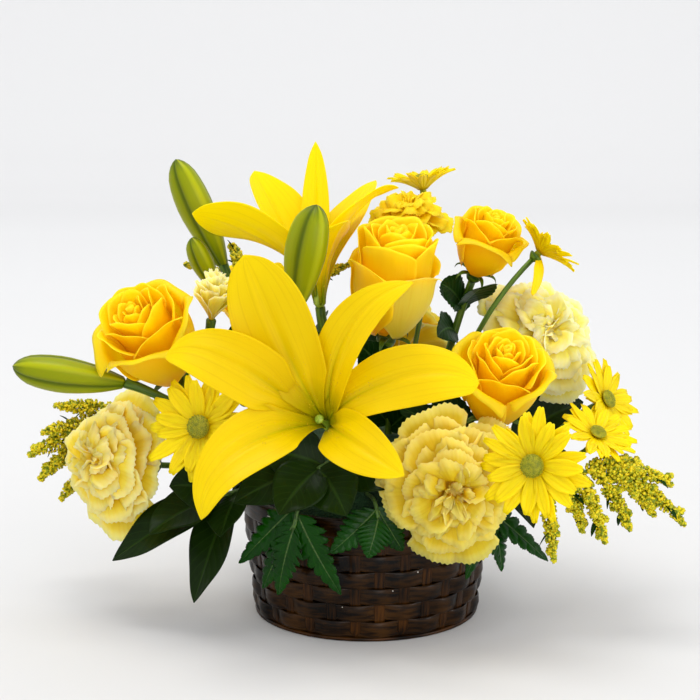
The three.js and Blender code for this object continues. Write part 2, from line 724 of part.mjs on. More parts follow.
// Roses.
const ROSES = [
  {
    name: "left",
    seed: 11,
    place: atSide(184, 94),
    foot: V(-113, -22, 152),
    facing: V(-0.4, -0.55, 0.75),
    roll: 10,
    size: 1.18,
    tall: 1.08,
  },
  {
    name: "centre",
    seed: 12,
    place: atTop(14, 2),
    foot: V(12, -3, 171),
    facing: V(0.1, -0.22, 0.97),
    roll: 40,
    size: 1.06,
    tall: 1.36,
    open: 0.7,
    leaves: [[0.6, V(34, -34, 150)], [0.7, V(-6, -22, 168)], [0.3, V(-10, -20, 138)], [0.25, V(36, -22, 130)]],
  },
  {
    name: "right",
    seed: 13,
    place: atSide(333, 98),
    foot: V(74, -36, 129),
    facing: V(0.1, -0.55, 0.83),
    roll: 75,
    size: 1.08,
    tall: 1.1,
    leaves: [[0.5, V(17, -50, 137)], [0.62, V(36, -44, 146)]],
  },
  {
    name: "upper",
    seed: 14,
    place: atTop(38, 8),
    foot: V(66, 18, 205),
    facing: V(0.3, -0.3, 0.9),
    roll: 20,
    size: 0.84,
    open: 1.2,
    leaves: [[0.84, V(44, 0, 200)], [0.84, V(76, -12, 202)], [0.8, V(48, 44, 192)], [0.7, V(42, -10, 170)]],
  },
  {
    name: "rear",
    seed: 15,
    place: atTop(-22, 34),
    foot: V(-62, 66, 162),
    facing: V(-0.4, 0.6, 0.7),
    roll: 0,
    size: 0.95,
    leaves: [[0.6, V(-24, 82, 170)], [0.7, V(-88, 84, 140)], [0.45, V(-44, 86, 116)]],
  },
];
ROSES.forEach(({ name, seed, place, leaves = [], ...head }) => {
  const scale = head.size ?? 1;
  const trunk = stem(place, below(head, 7 * scale), head.facing, 2.4);
  const cup = calyx(head, 5.6 * scale, 9 * scale, 17 * scale);
  const green = [trunk.body, cup, ...foliage(trunk.curve, leaves, 11, 30)];
  add(`rose_${name}_stem`, fuse(green), COLOURS.stem);
  add(`rose_${name}_bloom`, roseBloom(head, seed), COLOURS.rose);
});

// Carnations.
const CARNATIONS = [
  {
    name: "left",
    seed: 21,
    place: atSide(172, 86),
    foot: V(-141, -9, 93),
    facing: V(-0.7, -0.65, 0.25),
    size: 1.05,
  },
  {
    name: "front",
    seed: 22,
    place: atSide(308, 92),
    foot: V(47, -68, 97),
    facing: V(0.05, -1, 0),
    size: 1.06,
    neck: 12,
  },
  {
    name: "right",
    seed: 23,
    place: atSide(20, 96),
    foot: V(100, 26, 157),
    facing: V(0.4, -0.7, 0.55),
    size: 1.06,
  },
  {
    name: "small",
    seed: 24,
    place: atTop(-35, -4),
    foot: V(-92, -14, 181),
    facing: V(0.15, -0.15, 1),
    size: 0.46,
    petals: 6,
    upright: 1.2,
    neck: 14,
    leaves: [[0.6, V(-104, 4, 152)], [0.72, V(-74, -6, 182)], [0.5, V(-84, -22, 138)]],
  },
  {
    name: "top",
    seed: 25,
    place: atTop(4, 34),
    foot: V(26, 54, 224),
    facing: V(0, -0.3, 1),
    size: 0.72,
    petals: 7,
    gold: true,
    leaves: [[0.5, V(-14, 38, 182)], [0.68, V(0, 44, 206)]],
  },
  {
    name: "rear",
    seed: 26,
    place: atSide(75, 100),
    foot: V(21, 84, 139),
    facing: V(0.2, 0.8, 0.5),
    leaves: [[0.5, V(-16, 84, 110)], [0.5, V(56, 78, 114)]],
  },
];
CARNATIONS.forEach(({ name, seed, place, gold, neck: tubeLength = 20, leaves = [], ...head }) => {
  const trunk = stem(place, below(head, tubeLength - 1.5), head.facing, 1.9);
  const green = [trunk.body, carnationTube(head, tubeLength), ...foliage(trunk.curve, leaves, 9, 30)];
  add(`carnation_${name}_stem`, fuse(green), COLOURS.stem);
  const colour = gold ? COLOURS.carnationGold : COLOURS.carnation;
  add(`carnation_${name}_bloom`, carnationBloom(head, seed), colour);
});

// Daisies, on four branched or single stems.
const DAISIES = {
  left: [{ name: "left", seed: 31, foot: V(-94, -70, 129), facing: V(-0.35, -0.9, 0.25), size: 1.18 }],
  right: [
    { name: "right", seed: 32, foot: V(92, -106, 116), facing: V(-0.35, -0.9, 0.12), size: 1.16 },
    { name: "right_upper", seed: 33, foot: V(132, -50, 118), facing: V(0.3, -0.45, 0.8), size: 0.85 },
    { name: "right_outer", seed: 34, foot: V(141, -8, 130), facing: V(0.72, -0.5, 0.45), size: 0.95 },
  ],
  upper: [{ name: "upper", seed: 35, foot: V(100, -10, 219), facing: V(0.7, 0.1, 0.7), size: 0.8, cup: 0.7 }],
  top: [{ name: "top", seed: 36, foot: V(37, 95, 243), facing: V(-0.15, 0.05, 1), size: 0.76, cup: 1 }],
  rear: [{ name: "rear", seed: 37, foot: V(-42, 98, 128), facing: V(-0.3, 0.9, 0.3) }],
};
const DAISY_PLACES = {
  left: atSide(222, 92),
  right: atSide(342, 86),
  upper: atTop(42, -12),
  top: atTop(22, 38),
  rear: atSide(112, 92),
};
Object.entries(DAISIES).forEach(([group, heads]) => {
  const trunk = stem(DAISY_PLACES[group], below(heads[0], 3.6), heads[0].facing, 1.6);
  const branches = heads
    .slice(1)
    .map((head) => stalk(trunk.curve, 0.5, below(head, 3.6), head.facing, 1.5).body);
  add(`daisy_${group}_stem`, fuse([trunk.body, ...branches, ...heads.map(daisyDisc)]), COLOURS.stem);
  heads.forEach((head) => add(`daisy_${head.name}_bloom`, daisyBloom(head, head.seed), COLOURS.daisy));
});

// Goldenrod: main stalk points, then branchlets as [place along the stalk, tip].
add(
  "goldenrod_right",
  goldenrod(
    atSide(326, 84),
    [V(75, -58, 92), V(118, -66, 102), V(146, -64, 99)],
    [
      [0.66, V(108, -64, 47)],
      [0.74, V(124, -68, 66)],
      [0.8, V(137, -70, 60)],
      [0.88, V(152, -64, 66)],
      [0.96, V(166, -62, 74)],
      [0.99, V(184, -60, 68)],
      [0.93, V(176, -60, 92)],
      [0.84, V(160, -52, 101)],
    ],
    41,
  ),
  COLOURS.goldenrod,
);
add(
  "goldenrod_left",
  goldenrod(
    atSide(156, 92),
    [V(-110, 34, 104), V(-162, 40, 100)],
    [
      [0.8, V(-192, 24, 120)],
      [0.88, V(-200, 20, 104)],
      [0.95, V(-208, 18, 90)],
      [0.99, V(-202, 20, 74)],
      [0.85, V(-190, 24, 60)],
    ],
    42,
  ),
  COLOURS.goldenrod,
);
add(
  "goldenrod_rear",
  goldenrod(
    atTop(-26, 16),
    [V(-45, 40, 160), V(-80, 48, 196)],
    [
      [0.8, V(-112, 40, 206)],
      [0.95, V(-84, 66, 214)],
      [0.75, V(-10, 38, 206)],
    ],
    43,
  ),
  COLOURS.goldenrod,
);

// Fern fronds over the rim.
const FRONDS = [
  {
    name: "front_left",
    place: atSide(236, 84),
    points: [V(-38, -72, 87), V(-42, -80, 72)],
    leaflets: [
      [0.76, V(-74, -62, 46)],
      [0.93, V(-60, -68, 33)],
      [1, V(-51, -74, 31)],
      [0.86, V(-15, -86, 35)],
    ],
  },
  {
    name: "front",
    place: atSide(270, 84),
    points: [V(4, -76, 87), V(6, -83, 79)],
    leaflets: [[0.9, V(-21, -88, 60)], [1, V(0, -90, 58)], [0.86, V(20, -76, 58)]],
  },
  {
    name: "right",
    place: atSide(314, 82),
    points: [V(60, -58, 85), V(70, -60, 75)],
    leaflets: [[0.9, V(57, -64, 37)], [1, V(78, -58, 40)], [0.8, V(106, -48, 43)]],
  },
  {
    name: "rear_left",
    place: atSide(135, 84),
    points: [V(-58, 58, 87), V(-66, 66, 72)],
    leaflets: [[0.75, V(-88, 42, 50)], [1, V(-70, 72, 32)], [0.9, V(-40, 82, 44)], [0.7, V(-96, 66, 92)]],
  },
  {
    name: "rear_right",
    place: atSide(50, 84),
    points: [V(54, 62, 87), V(60, 72, 72)],
    leaflets: [[0.75, V(86, 44, 50)], [1, V(64, 80, 32)], [0.9, V(34, 88, 44)], [0.7, V(92, 74, 92)]],
  },
];
FRONDS.forEach(({ name, place, points, leaflets }) => {
  add(`fern_${name}`, frond(place, points, leaflets), COLOURS.fern);
});

// Broad evergreen leaves on short twigs: a place, the twig's points, and its leaves with half their width.
const TWIGS = [
  {
    name: "left",
    place: atSide(208, 84),
    points: [V(-74, -40, 84), V(-90, -46, 80)],
    leaves: [
      [0.95, V(-150, -44, 42)],
      [0.82, V(-101, -62, 22)],
      [0.99, V(-126, -64, 64)],
      [0.9, V(-114, -62, 92)],
      [0.75, V(-84, -76, 66)],
    ],
  },
  {
    name: "front",
    place: atSide(256, 101),
    points: [V(-20, -66, 108), V(-28, -76, 106)],
    leaves: [
      [0.85, V(-76, -76, 86)],
      [0.95, V(-50, -94, 84)],
      [1, V(-12, -96, 84)],
      [0.7, V(22, -72, 96)],
      [0.6, V(6, -80, 118)],
      [0.9, V(-62, -72, 114)],
    ],
  },
  {
    name: "right",
    place: atSide(350, 100),
    points: [V(76, -8, 102), V(92, -8, 104)],
    leaves: [[0.9, V(134, 28, 122)], [0.7, V(98, -44, 62)], [1, V(126, -18, 84)]],
  },
];
TWIGS.forEach(({ name, place, points, leaves }) => {
  const twig = runner(place, points);
  add(`leaves_${name}`, fuse([planted(twig, 1.4, 4, 5), ...foliage(twig, leaves, 16)]), COLOURS.leaf);
});

add("foam_block", foam(), COLOURS.foam);
add("liner_tray", liner(), COLOURS.liner);
add("basket_stakes", stakes(), COLOURS.splint);
for (let row = 0; row < BASKET.weavers; row++) add(`basket_weaver_${row + 1}`, weaver(row), COLOURS.splint);
add("basket_rim", rim(), COLOURS.splint);

export default part;
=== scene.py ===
import random
from math import atan2, copysign, cos, exp, pi, radians, sin, sqrt, tau

import bmesh
import bpy
from mathutils import Matrix, Vector, noise


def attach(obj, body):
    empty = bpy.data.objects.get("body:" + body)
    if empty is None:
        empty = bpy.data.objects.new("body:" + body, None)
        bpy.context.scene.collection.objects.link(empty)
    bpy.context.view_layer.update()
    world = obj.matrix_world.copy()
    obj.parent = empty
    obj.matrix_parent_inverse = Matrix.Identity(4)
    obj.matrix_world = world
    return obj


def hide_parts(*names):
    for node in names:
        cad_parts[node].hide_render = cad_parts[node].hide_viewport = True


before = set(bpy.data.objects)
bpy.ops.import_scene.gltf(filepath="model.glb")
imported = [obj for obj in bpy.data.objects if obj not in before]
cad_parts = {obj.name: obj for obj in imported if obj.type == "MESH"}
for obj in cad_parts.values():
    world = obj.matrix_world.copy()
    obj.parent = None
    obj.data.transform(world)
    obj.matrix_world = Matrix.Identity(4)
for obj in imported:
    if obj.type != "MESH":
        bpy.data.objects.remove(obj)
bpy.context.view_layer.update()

# ---------- Basket: base board and stakes ----------
# The basket is woven from flat wooden splints, stained dark brown and varnished. Thirty upright stakes stand
# round a thin board, and a round reed hides the board's edge. Shapes are drawn in millimetres.
BASKET_HEIGHT, FOOT_RADIUS, FLARE = 76, 66, 8
STAKES, STAKE_WIDTH, SPLINT_THICKNESS = 30, 6.4, 1.0


def wall_radius(z):
    return FOOT_RADIUS + FLARE * z / BASKET_HEIGHT


def spoke(turn, radius, z):
    return Vector((radius * cos(turn), radius * sin(turn), z))


def beside(turn):
    """The way along the wall at a turn about the middle."""
    return Vector((-sin(turn), cos(turn), 0))


def blank():
    """An empty shape whose faces can carry a pattern."""
    bm = bmesh.new()
    bm.loops.layers.uv.new("UVMap")
    return bm


def sheet(bm, across, along, place, finish=0):
    """A grid bent to place(u, v). u runs across it and v along it, both from 0 to 1."""
    grid = bmesh.ops.create_grid(bm, x_segments=across, y_segments=along, size=0.5, calc_uvs=True)["verts"]
    for vert in grid:
        vert.co = place(vert.co.x + 0.5, vert.co.y + 0.5)
    if finish:
        for face in {face for vert in grid for face in vert.link_faces}:
            face.material_index = finish
    return grid


def close(bm):
    """Joins the seams and poles of bent grids and turns every face outwards."""
    bmesh.ops.remove_doubles(bm, verts=bm.verts[:], dist=0.002)
    bmesh.ops.recalc_face_normals(bm, faces=bm.faces[:])


def turned(bm, profile, sides, matrix=Matrix(), finish=0):
    """A closed shape of revolution about +Z from (radius, height) pairs."""
    last = len(profile) - 1
    sheet(bm, sides, last, lambda u, v: matrix @ spoke(tau * u, *profile[round(v * last)]), finish)


def in_scene(name, data):
    made = bpy.data.objects.new(name, data)
    bpy.context.scene.collection.objects.link(made)
    return made


def smooth_object(name, bm, finishes):
    """An object from a shape in millimetres."""
    bmesh.ops.scale(bm, vec=(0.001, 0.001, 0.001), verts=bm.verts[:])
    mesh = bpy.data.meshes.new(name)
    bm.to_mesh(mesh)
    bm.free()
    for finish in finishes:
        mesh.materials.append(finish)
    mesh.polygons.foreach_set("use_smooth", [True] * len(mesh.polygons))
    return in_scene(name, mesh)


def piece(name, bm, finishes, node, thickness=0.0, rounds=0):
    """A finished piece that stands for a node. A thin sheet gets its rounding and its thickness here."""
    made = smooth_object(name, bm, finishes)
    if rounds:
        smoother = made.modifiers.new("smoother", "SUBSURF")
        smoother.levels = smoother.render_levels = rounds
    if thickness:
        wall = made.modifiers.new("thickness", "SOLIDIFY")
        wall.thickness = thickness / 1000
        wall.offset = 0
    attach(made, "root")
    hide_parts(node)


def solid_piece(name, bm, finishes, node):
    close(bm)
    piece(name, bm, finishes, node)


def put(tree, kind, inputs=None, **settings):
    """Adds a shader node. An input takes a plain value or another node's output."""
    made = tree.nodes.new("ShaderNode" + kind)
    for key, value in settings.items():
        setattr(made, key, value)
    for key, value in (inputs or {}).items():
        if isinstance(value, bpy.types.NodeSocket):
            tree.links.new(value, made.inputs[key])
        else:
            made.inputs[key].default_value = value
    return made


def maths(tree, operation, a, b=0.0, c=0.0):
    return put(tree, "Math", {0: a, 1: b, 2: c}, operation=operation).outputs[0]


def tint(tree, share, a, b, mode="MIX"):
    """Mixes two colours by a share from 0 to 1."""
    return put(tree, "Mix", {0: share, 6: a, 7: b}, data_type="RGBA", blend_type=mode).outputs[2]


def curve(tree, value, stops):
    """Colours or greys along a value, as (place, colour) or (place, grey) stops."""
    ramp = put(tree, "ValToRGB", {0: value})
    elements = ramp.color_ramp.elements
    while len(elements) < len(stops):
        elements.new(0.5)
    for element, (place, colour) in zip(elements, stops):
        element.position = place
        element.color = colour if isinstance(colour, tuple) else (colour, colour, colour, 1)
    return ramp.outputs[0]


def rgb(red, green, blue):
    """A colour as a picture gives it, 0 to 255, turned into the amount of light it stands for."""
    return tuple((part / 255) ** 2.2 for part in (red, green, blue)) + (1,)


def new_finish(name, roughness, **sockets):
    """A material with one Principled shader. Other plain socket values are named with underscores."""
    finish = bpy.data.materials.new(name)
    finish.use_nodes = True
    shader = finish.node_tree.nodes["Principled BSDF"]
    shader.inputs["Roughness"].default_value = roughness
    for key, value in sockets.items():
        shader.inputs[key.replace("_", " ").title().replace("Ior", "IOR")].default_value = value
    return finish, finish.node_tree, shader


def relief(tree, shader, height, strength, distance):
    bump = put(tree, "Bump", {"Height": height, "Strength": strength, "Distance": distance})
    tree.links.new(bump.outputs[0], shader.inputs["Normal"])


def group_of(name, inputs):
    """An empty node group that gives a mask, with number inputs as (name, usual value)."""
    group = bpy.data.node_groups.new(name, "ShaderNodeTree")
    for label, usual in inputs:
        group.interface.new_socket(label, in_out="INPUT", socket_type="NodeSocketFloat").default_value = usual
    group.interface.new_socket("Mask", in_out="OUTPUT", socket_type="NodeSocketFloat")
    return group, group.nodes.new("NodeGroupInput").outputs, group.nodes.new("NodeGroupOutput").inputs


def uv_of(tree):
    """The places across and along a sheet, both from 0 to 1."""
    return put(tree, "SeparateXYZ", {0: put(tree, "TexCoord").outputs["UV"]}).outputs[:2]


# Fine lines that run along a splint, petal or leaf: its wood grain or its veins.
fibres, given, result = group_of("fibres", [("Lines", 30.0), ("Length", 2.0), ("Wander", 0.4)])
across, along = uv_of(fibres)
stretched = {
    0: maths(fibres, "MULTIPLY", across, given["Lines"]),
    1: maths(fibres, "MULTIPLY", along, given["Length"]),
}
place = put(fibres, "CombineXYZ", stretched).outputs[0]
ragged = {"Vector": place, "Scale": 1.0, "Detail": 3.0, "Distortion": given["Wander"]}
fibres.links.new(put(fibres, "TexNoise", ragged).outputs[0], result["Mask"])

# Soft blotches in the colour, fixed to the piece.
blotches, given, result = group_of("blotches", [("Scale", 60.0)])
soft = {"Vector": put(blotches, "TexCoord").outputs["Object"], "Scale": given["Scale"], "Detail": 2.0}
blotches.links.new(put(blotches, "TexNoise", soft).outputs[0], result["Mask"])


def fibre_mask(tree, lines, length, wander=0.4):
    values = {"Lines": lines, "Length": length, "Wander": wander}
    return put(tree, "Group", values, node_tree=fibres).outputs["Mask"]


def blotch_mask(tree, scale):
    return put(tree, "Group", {"Scale": scale}, node_tree=blotches).outputs["Mask"]


def mask_of(tree, kind):
    """Fibres from (lines, length), or blotches from a scale."""
    return fibre_mask(tree, *kind) if isinstance(kind, tuple) else blotch_mask(tree, kind)


def plain_finish(name, roughness, kind, stops, bump=None, **sockets):
    """A material coloured along one mask. A bump is (kind of mask, strength, distance)."""
    finish, tree, shader = new_finish(name, roughness, **sockets)
    tree.links.new(curve(tree, mask_of(tree, kind), stops), shader.inputs["Base Color"])
    if bump:
        relief(tree, shader, mask_of(tree, bump[0]), *bump[1:])
    return finish


def splint_finish(name, lines, length, dark, light):
    """Stained wood: dark pores along the grain, lighter where the stain wore thin, under satin varnish."""
    varnish = dict(coat_weight=0.2, coat_roughness=0.22, specular_ior_level=0.04)
    finish, tree, shader = new_finish(name, 0.34, **varnish)
    grain = fibre_mask(tree, lines, length)
    worn = maths(tree, "MULTIPLY_ADD", blotch_mask(tree, 55.0), 0.75, maths(tree, "MULTIPLY", grain, 0.45))
    stain = curve(tree, worn, [(0.46, dark), (0.78, light)])
    pores = curve(tree, grain, [(0.3, (0.35, 0.3, 0.28, 1)), (0.55, 1)])
    tree.links.new(tint(tree, 1.0, stain, pores, "MULTIPLY"), shader.inputs["Base Color"])
    tree.links.new(maths(tree, "MULTIPLY_ADD", grain, 0.3, 0.22), shader.inputs["Roughness"])
    relief(tree, shader, grain, 0.5, 0.0004)
    return finish


stake_finish = splint_finish("stained_stake", 26.0, 3.0, rgb(17, 11, 4), rgb(70, 43, 15))
weaver_finish = splint_finish("stained_weaver", 26.0, 34.0, rgb(16, 10, 4), rgb(60, 39, 16))


def splint_section(u, width, thickness):
    """A point on a flat splint's rounded section, as (across its width, through its thickness)."""
    turn = tau * u
    c, s = cos(turn), sin(turn)
    return (
        copysign(abs(c) ** 0.35, c) * width / 2,
        copysign(abs(s) ** 0.7, s) * thickness / 2,
    )


def ring_section(radius, z, half_width, half_height, sides):
    """The oval section of a reed that goes round the basket."""
    turns = [k * tau / sides for k in range(sides + 1)]
    return [(radius + half_width * cos(turn), z + half_height * sin(turn)) for turn in turns]


bm = blank()
for k in range(STAKES):
    turn = k * tau / STAKES
    lean = 0.35 * sin(k * 2.4)

    def stake_place(u, v):
        inside = 0 < v < 1
        wide, deep = splint_section(u, STAKE_WIDTH if inside else 0.2, SPLINT_THICKNESS if inside else 0.02)
        z = 0.6 + v * (BASKET_HEIGHT - 1.4)
        point = spoke(turn, wall_radius(z) + deep, z)
        return point + beside(turn) * (wide + lean * v)

    sheet(bm, 12, 14, stake_place)
turned(bm, [(0, 0), (63, 0), (65.4, 0.5), (65.4, 1.6), (63, 2), (0, 2)], 90)
turned(bm, ring_section(66.9, 1.3, 1.2, 1.2, 8), 120)
solid_piece("stakes_and_base", bm, [stake_finish], "basket_stakes")

# ---------- Basket: weavers ----------
# Six wide splints go round the wall, each outside one stake and inside the next, one row against the other.
# They bow out between the stakes they pass, and none of them is quite level.
WEAVER_WIDTH, ROW_PITCH, FIRST_ROW = 10.05, 10.2, 7.4
for row in range(6):
    bm = blank()
    middle = FIRST_ROW + row * ROW_PITCH

    def weaver_place(u, v):
        turn = tau * v
        wide, deep = splint_section(u, WEAVER_WIDTH, SPLINT_THICKNESS * 0.95)
        wave = (cos(STAKES / 2 * turn + pi * (row + 1)) + 0.3) / 1.3
        z = middle + wide + 0.22 * sin(5 * turn + 2.1 * row) + 0.12 * sin(13 * turn + row)
        cup = 0.95 * (wide / 5) ** 2
        bow = copysign(abs(wave) ** 0.8, wave) * (1.95 - cup)
        return spoke(turn, wall_radius(z) + 0.45 + bow + deep, z)

    sheet(bm, 12, 300, weaver_place)
    solid_piece(f"weaver_row_{row + 1}", bm, [weaver_finish], f"basket_weaver_{row + 1}")

# ---------- Basket: rim ----------
# Two broad splints hold the stakes' tops between them, with a half-round reed over the joint, and small wire
# staples go through all of it. The staples' ends show as glints in the wall too.
wire = [(0.4, (0.3, 0.26, 0.22, 1)), (0.6, (0.7, 0.66, 0.6, 1))]
staple_finish = plain_finish("staple_wire", 0.3, 900.0, wire, metallic=1.0)
bm = blank()
for radius, low, high in ((1.9, 64.0, 75.4), (-1.4, 66.5, 75.4)):

    def band_place(u, v):
        wide, deep = splint_section(u, high - low, 1.3)
        z = (low + high) / 2 + wide + 0.15 * sin(9 * v * tau)
        return spoke(v * tau, wall_radius(z) + radius + deep + 0.1 * cos(30 * v * tau), z)

    sheet(bm, 12, 180, band_place)
turned(bm, ring_section(wall_radius(BASKET_HEIGHT) + 0.4, 74.9, 1.7, 1.1, 10), 120)
for k in range(15):
    turn = (2 * k + 0.5) * tau / STAKES
    z = 70.5 + 0.8 * sin(k * 3.1)
    lying = Matrix.Rotation(turn, 4, "Z") @ Matrix.Rotation(pi / 2, 4, "X")
    staple = Matrix.Translation(spoke(turn, wall_radius(z) + 2.6, z)) @ lying
    turned(bm, [(0, -2.6), (0.34, -2.5), (0.38, 0), (0.34, 2.5), (0, 2.6)], 6, staple, 1)
for k, row in ((23, 2), (24, 3), (21, 1), (27, 2), (3, 2), (9, 3), (14, 1)):
    turn, z = (k + 0.5) * tau / STAKES, FIRST_ROW + row * ROW_PITCH + 3.8
    end = Matrix.Translation(spoke(turn, wall_radius(z) + 1.5, z))
    turned(bm, [(0, -0.5), (0.4, -0.4), (0.5, 0), (0.4, 0.4), (0, 0.5)], 6, end, 1)
solid_piece("rim_bands", bm, [weaver_finish, staple_finish], "basket_rim")

# ---------- Liner and foam ----------
# A dark plastic tray keeps the water in. A block of wet foam stands in it, cut from a brick with a knife, so
# its face is grainy with open cells, and every stem is pushed into it.
plastic = [(0.35, rgb(12, 15, 12)), (0.65, rgb(24, 29, 23))]
liner_finish = plain_finish("liner_plastic", 0.42, 300.0, plastic, (1400.0, 0.12, 0.0003))
liner_outside = [(0, 2.3), (58.5, 2.3), (60, 3), (65.8, 71), (67.2, 71.6), (67.2, 72)]
liner_inside = [(65.4, 72), (64.6, 71), (58.8, 4.4), (57.2, 3.5), (0, 3.5)]
bm = blank()
turned(bm, liner_outside + liner_inside, 72)
solid_piece("liner", bm, [liner_finish], "liner_tray")

foam_finish = plain_finish("wet_foam", 0.85, 120.0, [(0.35, rgb(20, 50, 26)), (0.7, rgb(40, 76, 42))])
tree = foam_finish.node_tree
cells = put(tree, "TexVoronoi", {"Vector": put(tree, "TexCoord").outputs["Object"], "Scale": 900.0})
relief(tree, tree.nodes["Principled BSDF"], cells.outputs["Distance"], 0.7, 0.0006)
FOAM_RADIUS, FOAM_TOP = 50, 108
side = [(FOAM_RADIUS, 6 + 97 * k / 12) for k in range(13)]
shoulder = [(FOAM_RADIUS - 1.4, FOAM_TOP - 1.6), (FOAM_RADIUS - 5, FOAM_TOP)]
bm = blank()
turned(bm, [(0, 3.9), (48, 3.9)] + side + shoulder + [(r, FOAM_TOP) for r in (34, 22, 10, 0)], 64)
close(bm)
for vert in bm.verts:
    if vert.co.z > 5:
        away = Vector((vert.co.x, vert.co.y, 12 if vert.co.z > FOAM_TOP - 3 else 0)).normalized()
        vert.co += away * 0.7 * noise.noise(vert.co * 0.16)
piece("foam", bm, [foam_finish], "foam_block")

# ---------- Stems in the foam, and broad evergreen leaves ----------
# Three twigs of dark leathery leaves hang over the rim and stand between the flowers. Each leaf is folded a
# little along its midrib and waved at its edge. Every twig or stem starts SINK deep in the foam.
SINK = 15
STEM_RADIUS = dict(lily=3.1, rose=2.4, carnation=1.9, daisy=1.6)


def at_side(bearing, z):
    """A place on the foam's side, as (point, way into the foam)."""
    out = spoke(radians(bearing), 1, 0)
    return out * FOAM_RADIUS + Vector((0, 0, z)), Vector((-out.x, -out.y, -0.3)).normalized()


def at_top(x, y):
    return Vector((x, y, FOAM_TOP)), Vector((-x * 0.006, -y * 0.006, -1)).normalized()


class Path:
    """A smooth line made of bezier arcs, each given by four points."""

    def __init__(self, *arcs):
        self.points = []
        for a, b, c, d in arcs:
            for k in range(25):
                t, s = k / 24, 1 - k / 24
                self.points.append(a * s**3 + b * (3 * s * s * t) + c * (3 * s * t * t) + d * t**3)
        self.reach = [0.0]
        for p, q in zip(self.points, self.points[1:]):
            self.reach.append(self.reach[-1] + (q - p).length)
        self.length = self.reach[-1]

    def at(self, share):
        """The point at a share of the length; a little past either end is allowed."""
        want = share * self.length
        k = 0
        while k < len(self.reach) - 2 and (self.reach[k + 1] < want or self.reach[k + 1] == self.reach[k]):
            k += 1
        step = self.reach[k + 1] - self.reach[k]
        return self.points[k].lerp(self.points[k + 1], (want - self.reach[k]) / step if step else 0)

    def way(self, share):
        return (self.at(min(1, share + 0.02)) - self.at(max(0, share - 0.02))).normalized()


def through(points):
    """A path through points, its arcs meeting smoothly."""
    arcs = []
    for k in range(len(points) - 1):
        a, b = points[k], points[k + 1]
        third = (b - a).length / 3
        out = (b - points[max(k - 1, 0)]).normalized()
        into = (points[min(k + 2, len(points) - 1)] - a).normalized()
        arcs.append((a, a + out * third, b - into * third, b))
    return Path(*arcs)


def runner(place, points):
    entry, inward = place
    return through([entry + inward * SINK, entry - inward * 4] + [Vector(p) for p in points])


def stem_path(place, foot, arriving):
    """A stem from its hole in the foam to the foot of its flower."""
    entry, inward = place
    start = entry + inward * SINK
    distance = (foot - start).length
    reach = distance * (0.42 if distance > 60 else 0.25)
    near_foot = foot - arriving.normalized() * reach * 0.8
    return Path((start, start - inward * max(reach, SINK + 4), near_foot, foot))


def rod(bm, path, radius, sides=10, steps=18, finish=0):
    """A stalk along a path. radius is a number, or gives one from the share of the length."""
    size = radius if callable(radius) else (lambda share: radius)
    shares = [0] + [k / steps for k in range(steps + 1)] + [1]
    rings = []
    side = path.way(0).orthogonal().normalized()
    for k, share in enumerate(shares):
        way = path.way(share)
        side = (side - way * side.dot(way)).normalized()
        around = 0 if k in (0, steps + 2) else size(share)
        rings.append((path.at(share), side.copy(), way.cross(side), around))

    def rod_place(u, v):
        middle, x, y, r = rings[round(v * (steps + 2))]
        return middle + (x * cos(tau * u) + y * sin(tau * u)) * r

    sheet(bm, sides, steps + 2, rod_place, finish)


def frame_on(way, side):
    """The ways across and up from a blade that runs along way, turned towards side."""
    crosswise = (side - way * side.dot(way)).normalized()
    return crosswise, crosswise.cross(way).normalized()


def bent(start, tip, rise):
    """A path from start to tip, bent over rise on its way."""
    return Path((start, start.lerp(tip, 0.333) + rise * 0.667, start.lerp(tip, 0.667) + rise * 0.667, tip))


def leaf(bm, start, tip, rise, side, outline, across=8, along=22, wave=0.0, seed=0):
    """A leaf bent over rise. outline(v, s) is its half width, wave is how far its edges roll."""
    bend = bent(start, tip, rise)

    def leaf_place(u, v):
        s = 2 * u - 1
        crosswise, up = frame_on(bend.way(v), side)
        half = outline(v, s) if v < 1 else 0.05
        lift = 0.16 * half * s * s - 0.35 * exp(-((s / 0.12) ** 2)) * min(1, 4 * (1 - v))
        roll = sin(9 * v + 2.5 * copysign(1, s) + seed) * min(1, 4 * v, 4 * (1 - v))
        lift += wave * abs(s) ** 2 * roll
        return bend.at(v) + crosswise * s * half + up * lift

    sheet(bm, across, along, leaf_place)


def broad(half, teeth=0, depth=0.0):
    """Half the width of an ovate leaf along its length, with an optional saw edge."""

    def outline(v, s):
        width = max(0.4, half * sin(pi * min(1, v) ** 0.8) ** 0.8)
        if teeth and abs(s) > 0.7:
            width *= 1 + depth * ((v * teeth) % 1 - 0.6)
        return width

    return outline


def foliage(bm, path, leaves, half, teeth=0, depth=0.0, wave=1.0, lie=55):
    """Leaves on a path, as (place along it, tip). Each one's upper face looks up and to the front."""
    for n, (share, tip) in enumerate(leaves):
        start, tip = path.at(share), Vector(tip)
        side = (tip - start).cross(Vector((tip.x * lie / 55, tip.y - 100 + lie, lie))).normalized()
        outline, along = broad(half, teeth, depth), 30 if teeth else 22
        leaf(bm, start, tip, Vector((0, 0, 6)), side, outline, wave=wave, seed=n * 1.7, along=along)


def from_middle(tree, across):
    return maths(tree, "ABSOLUTE", maths(tree, "SUBTRACT", across, 0.5))


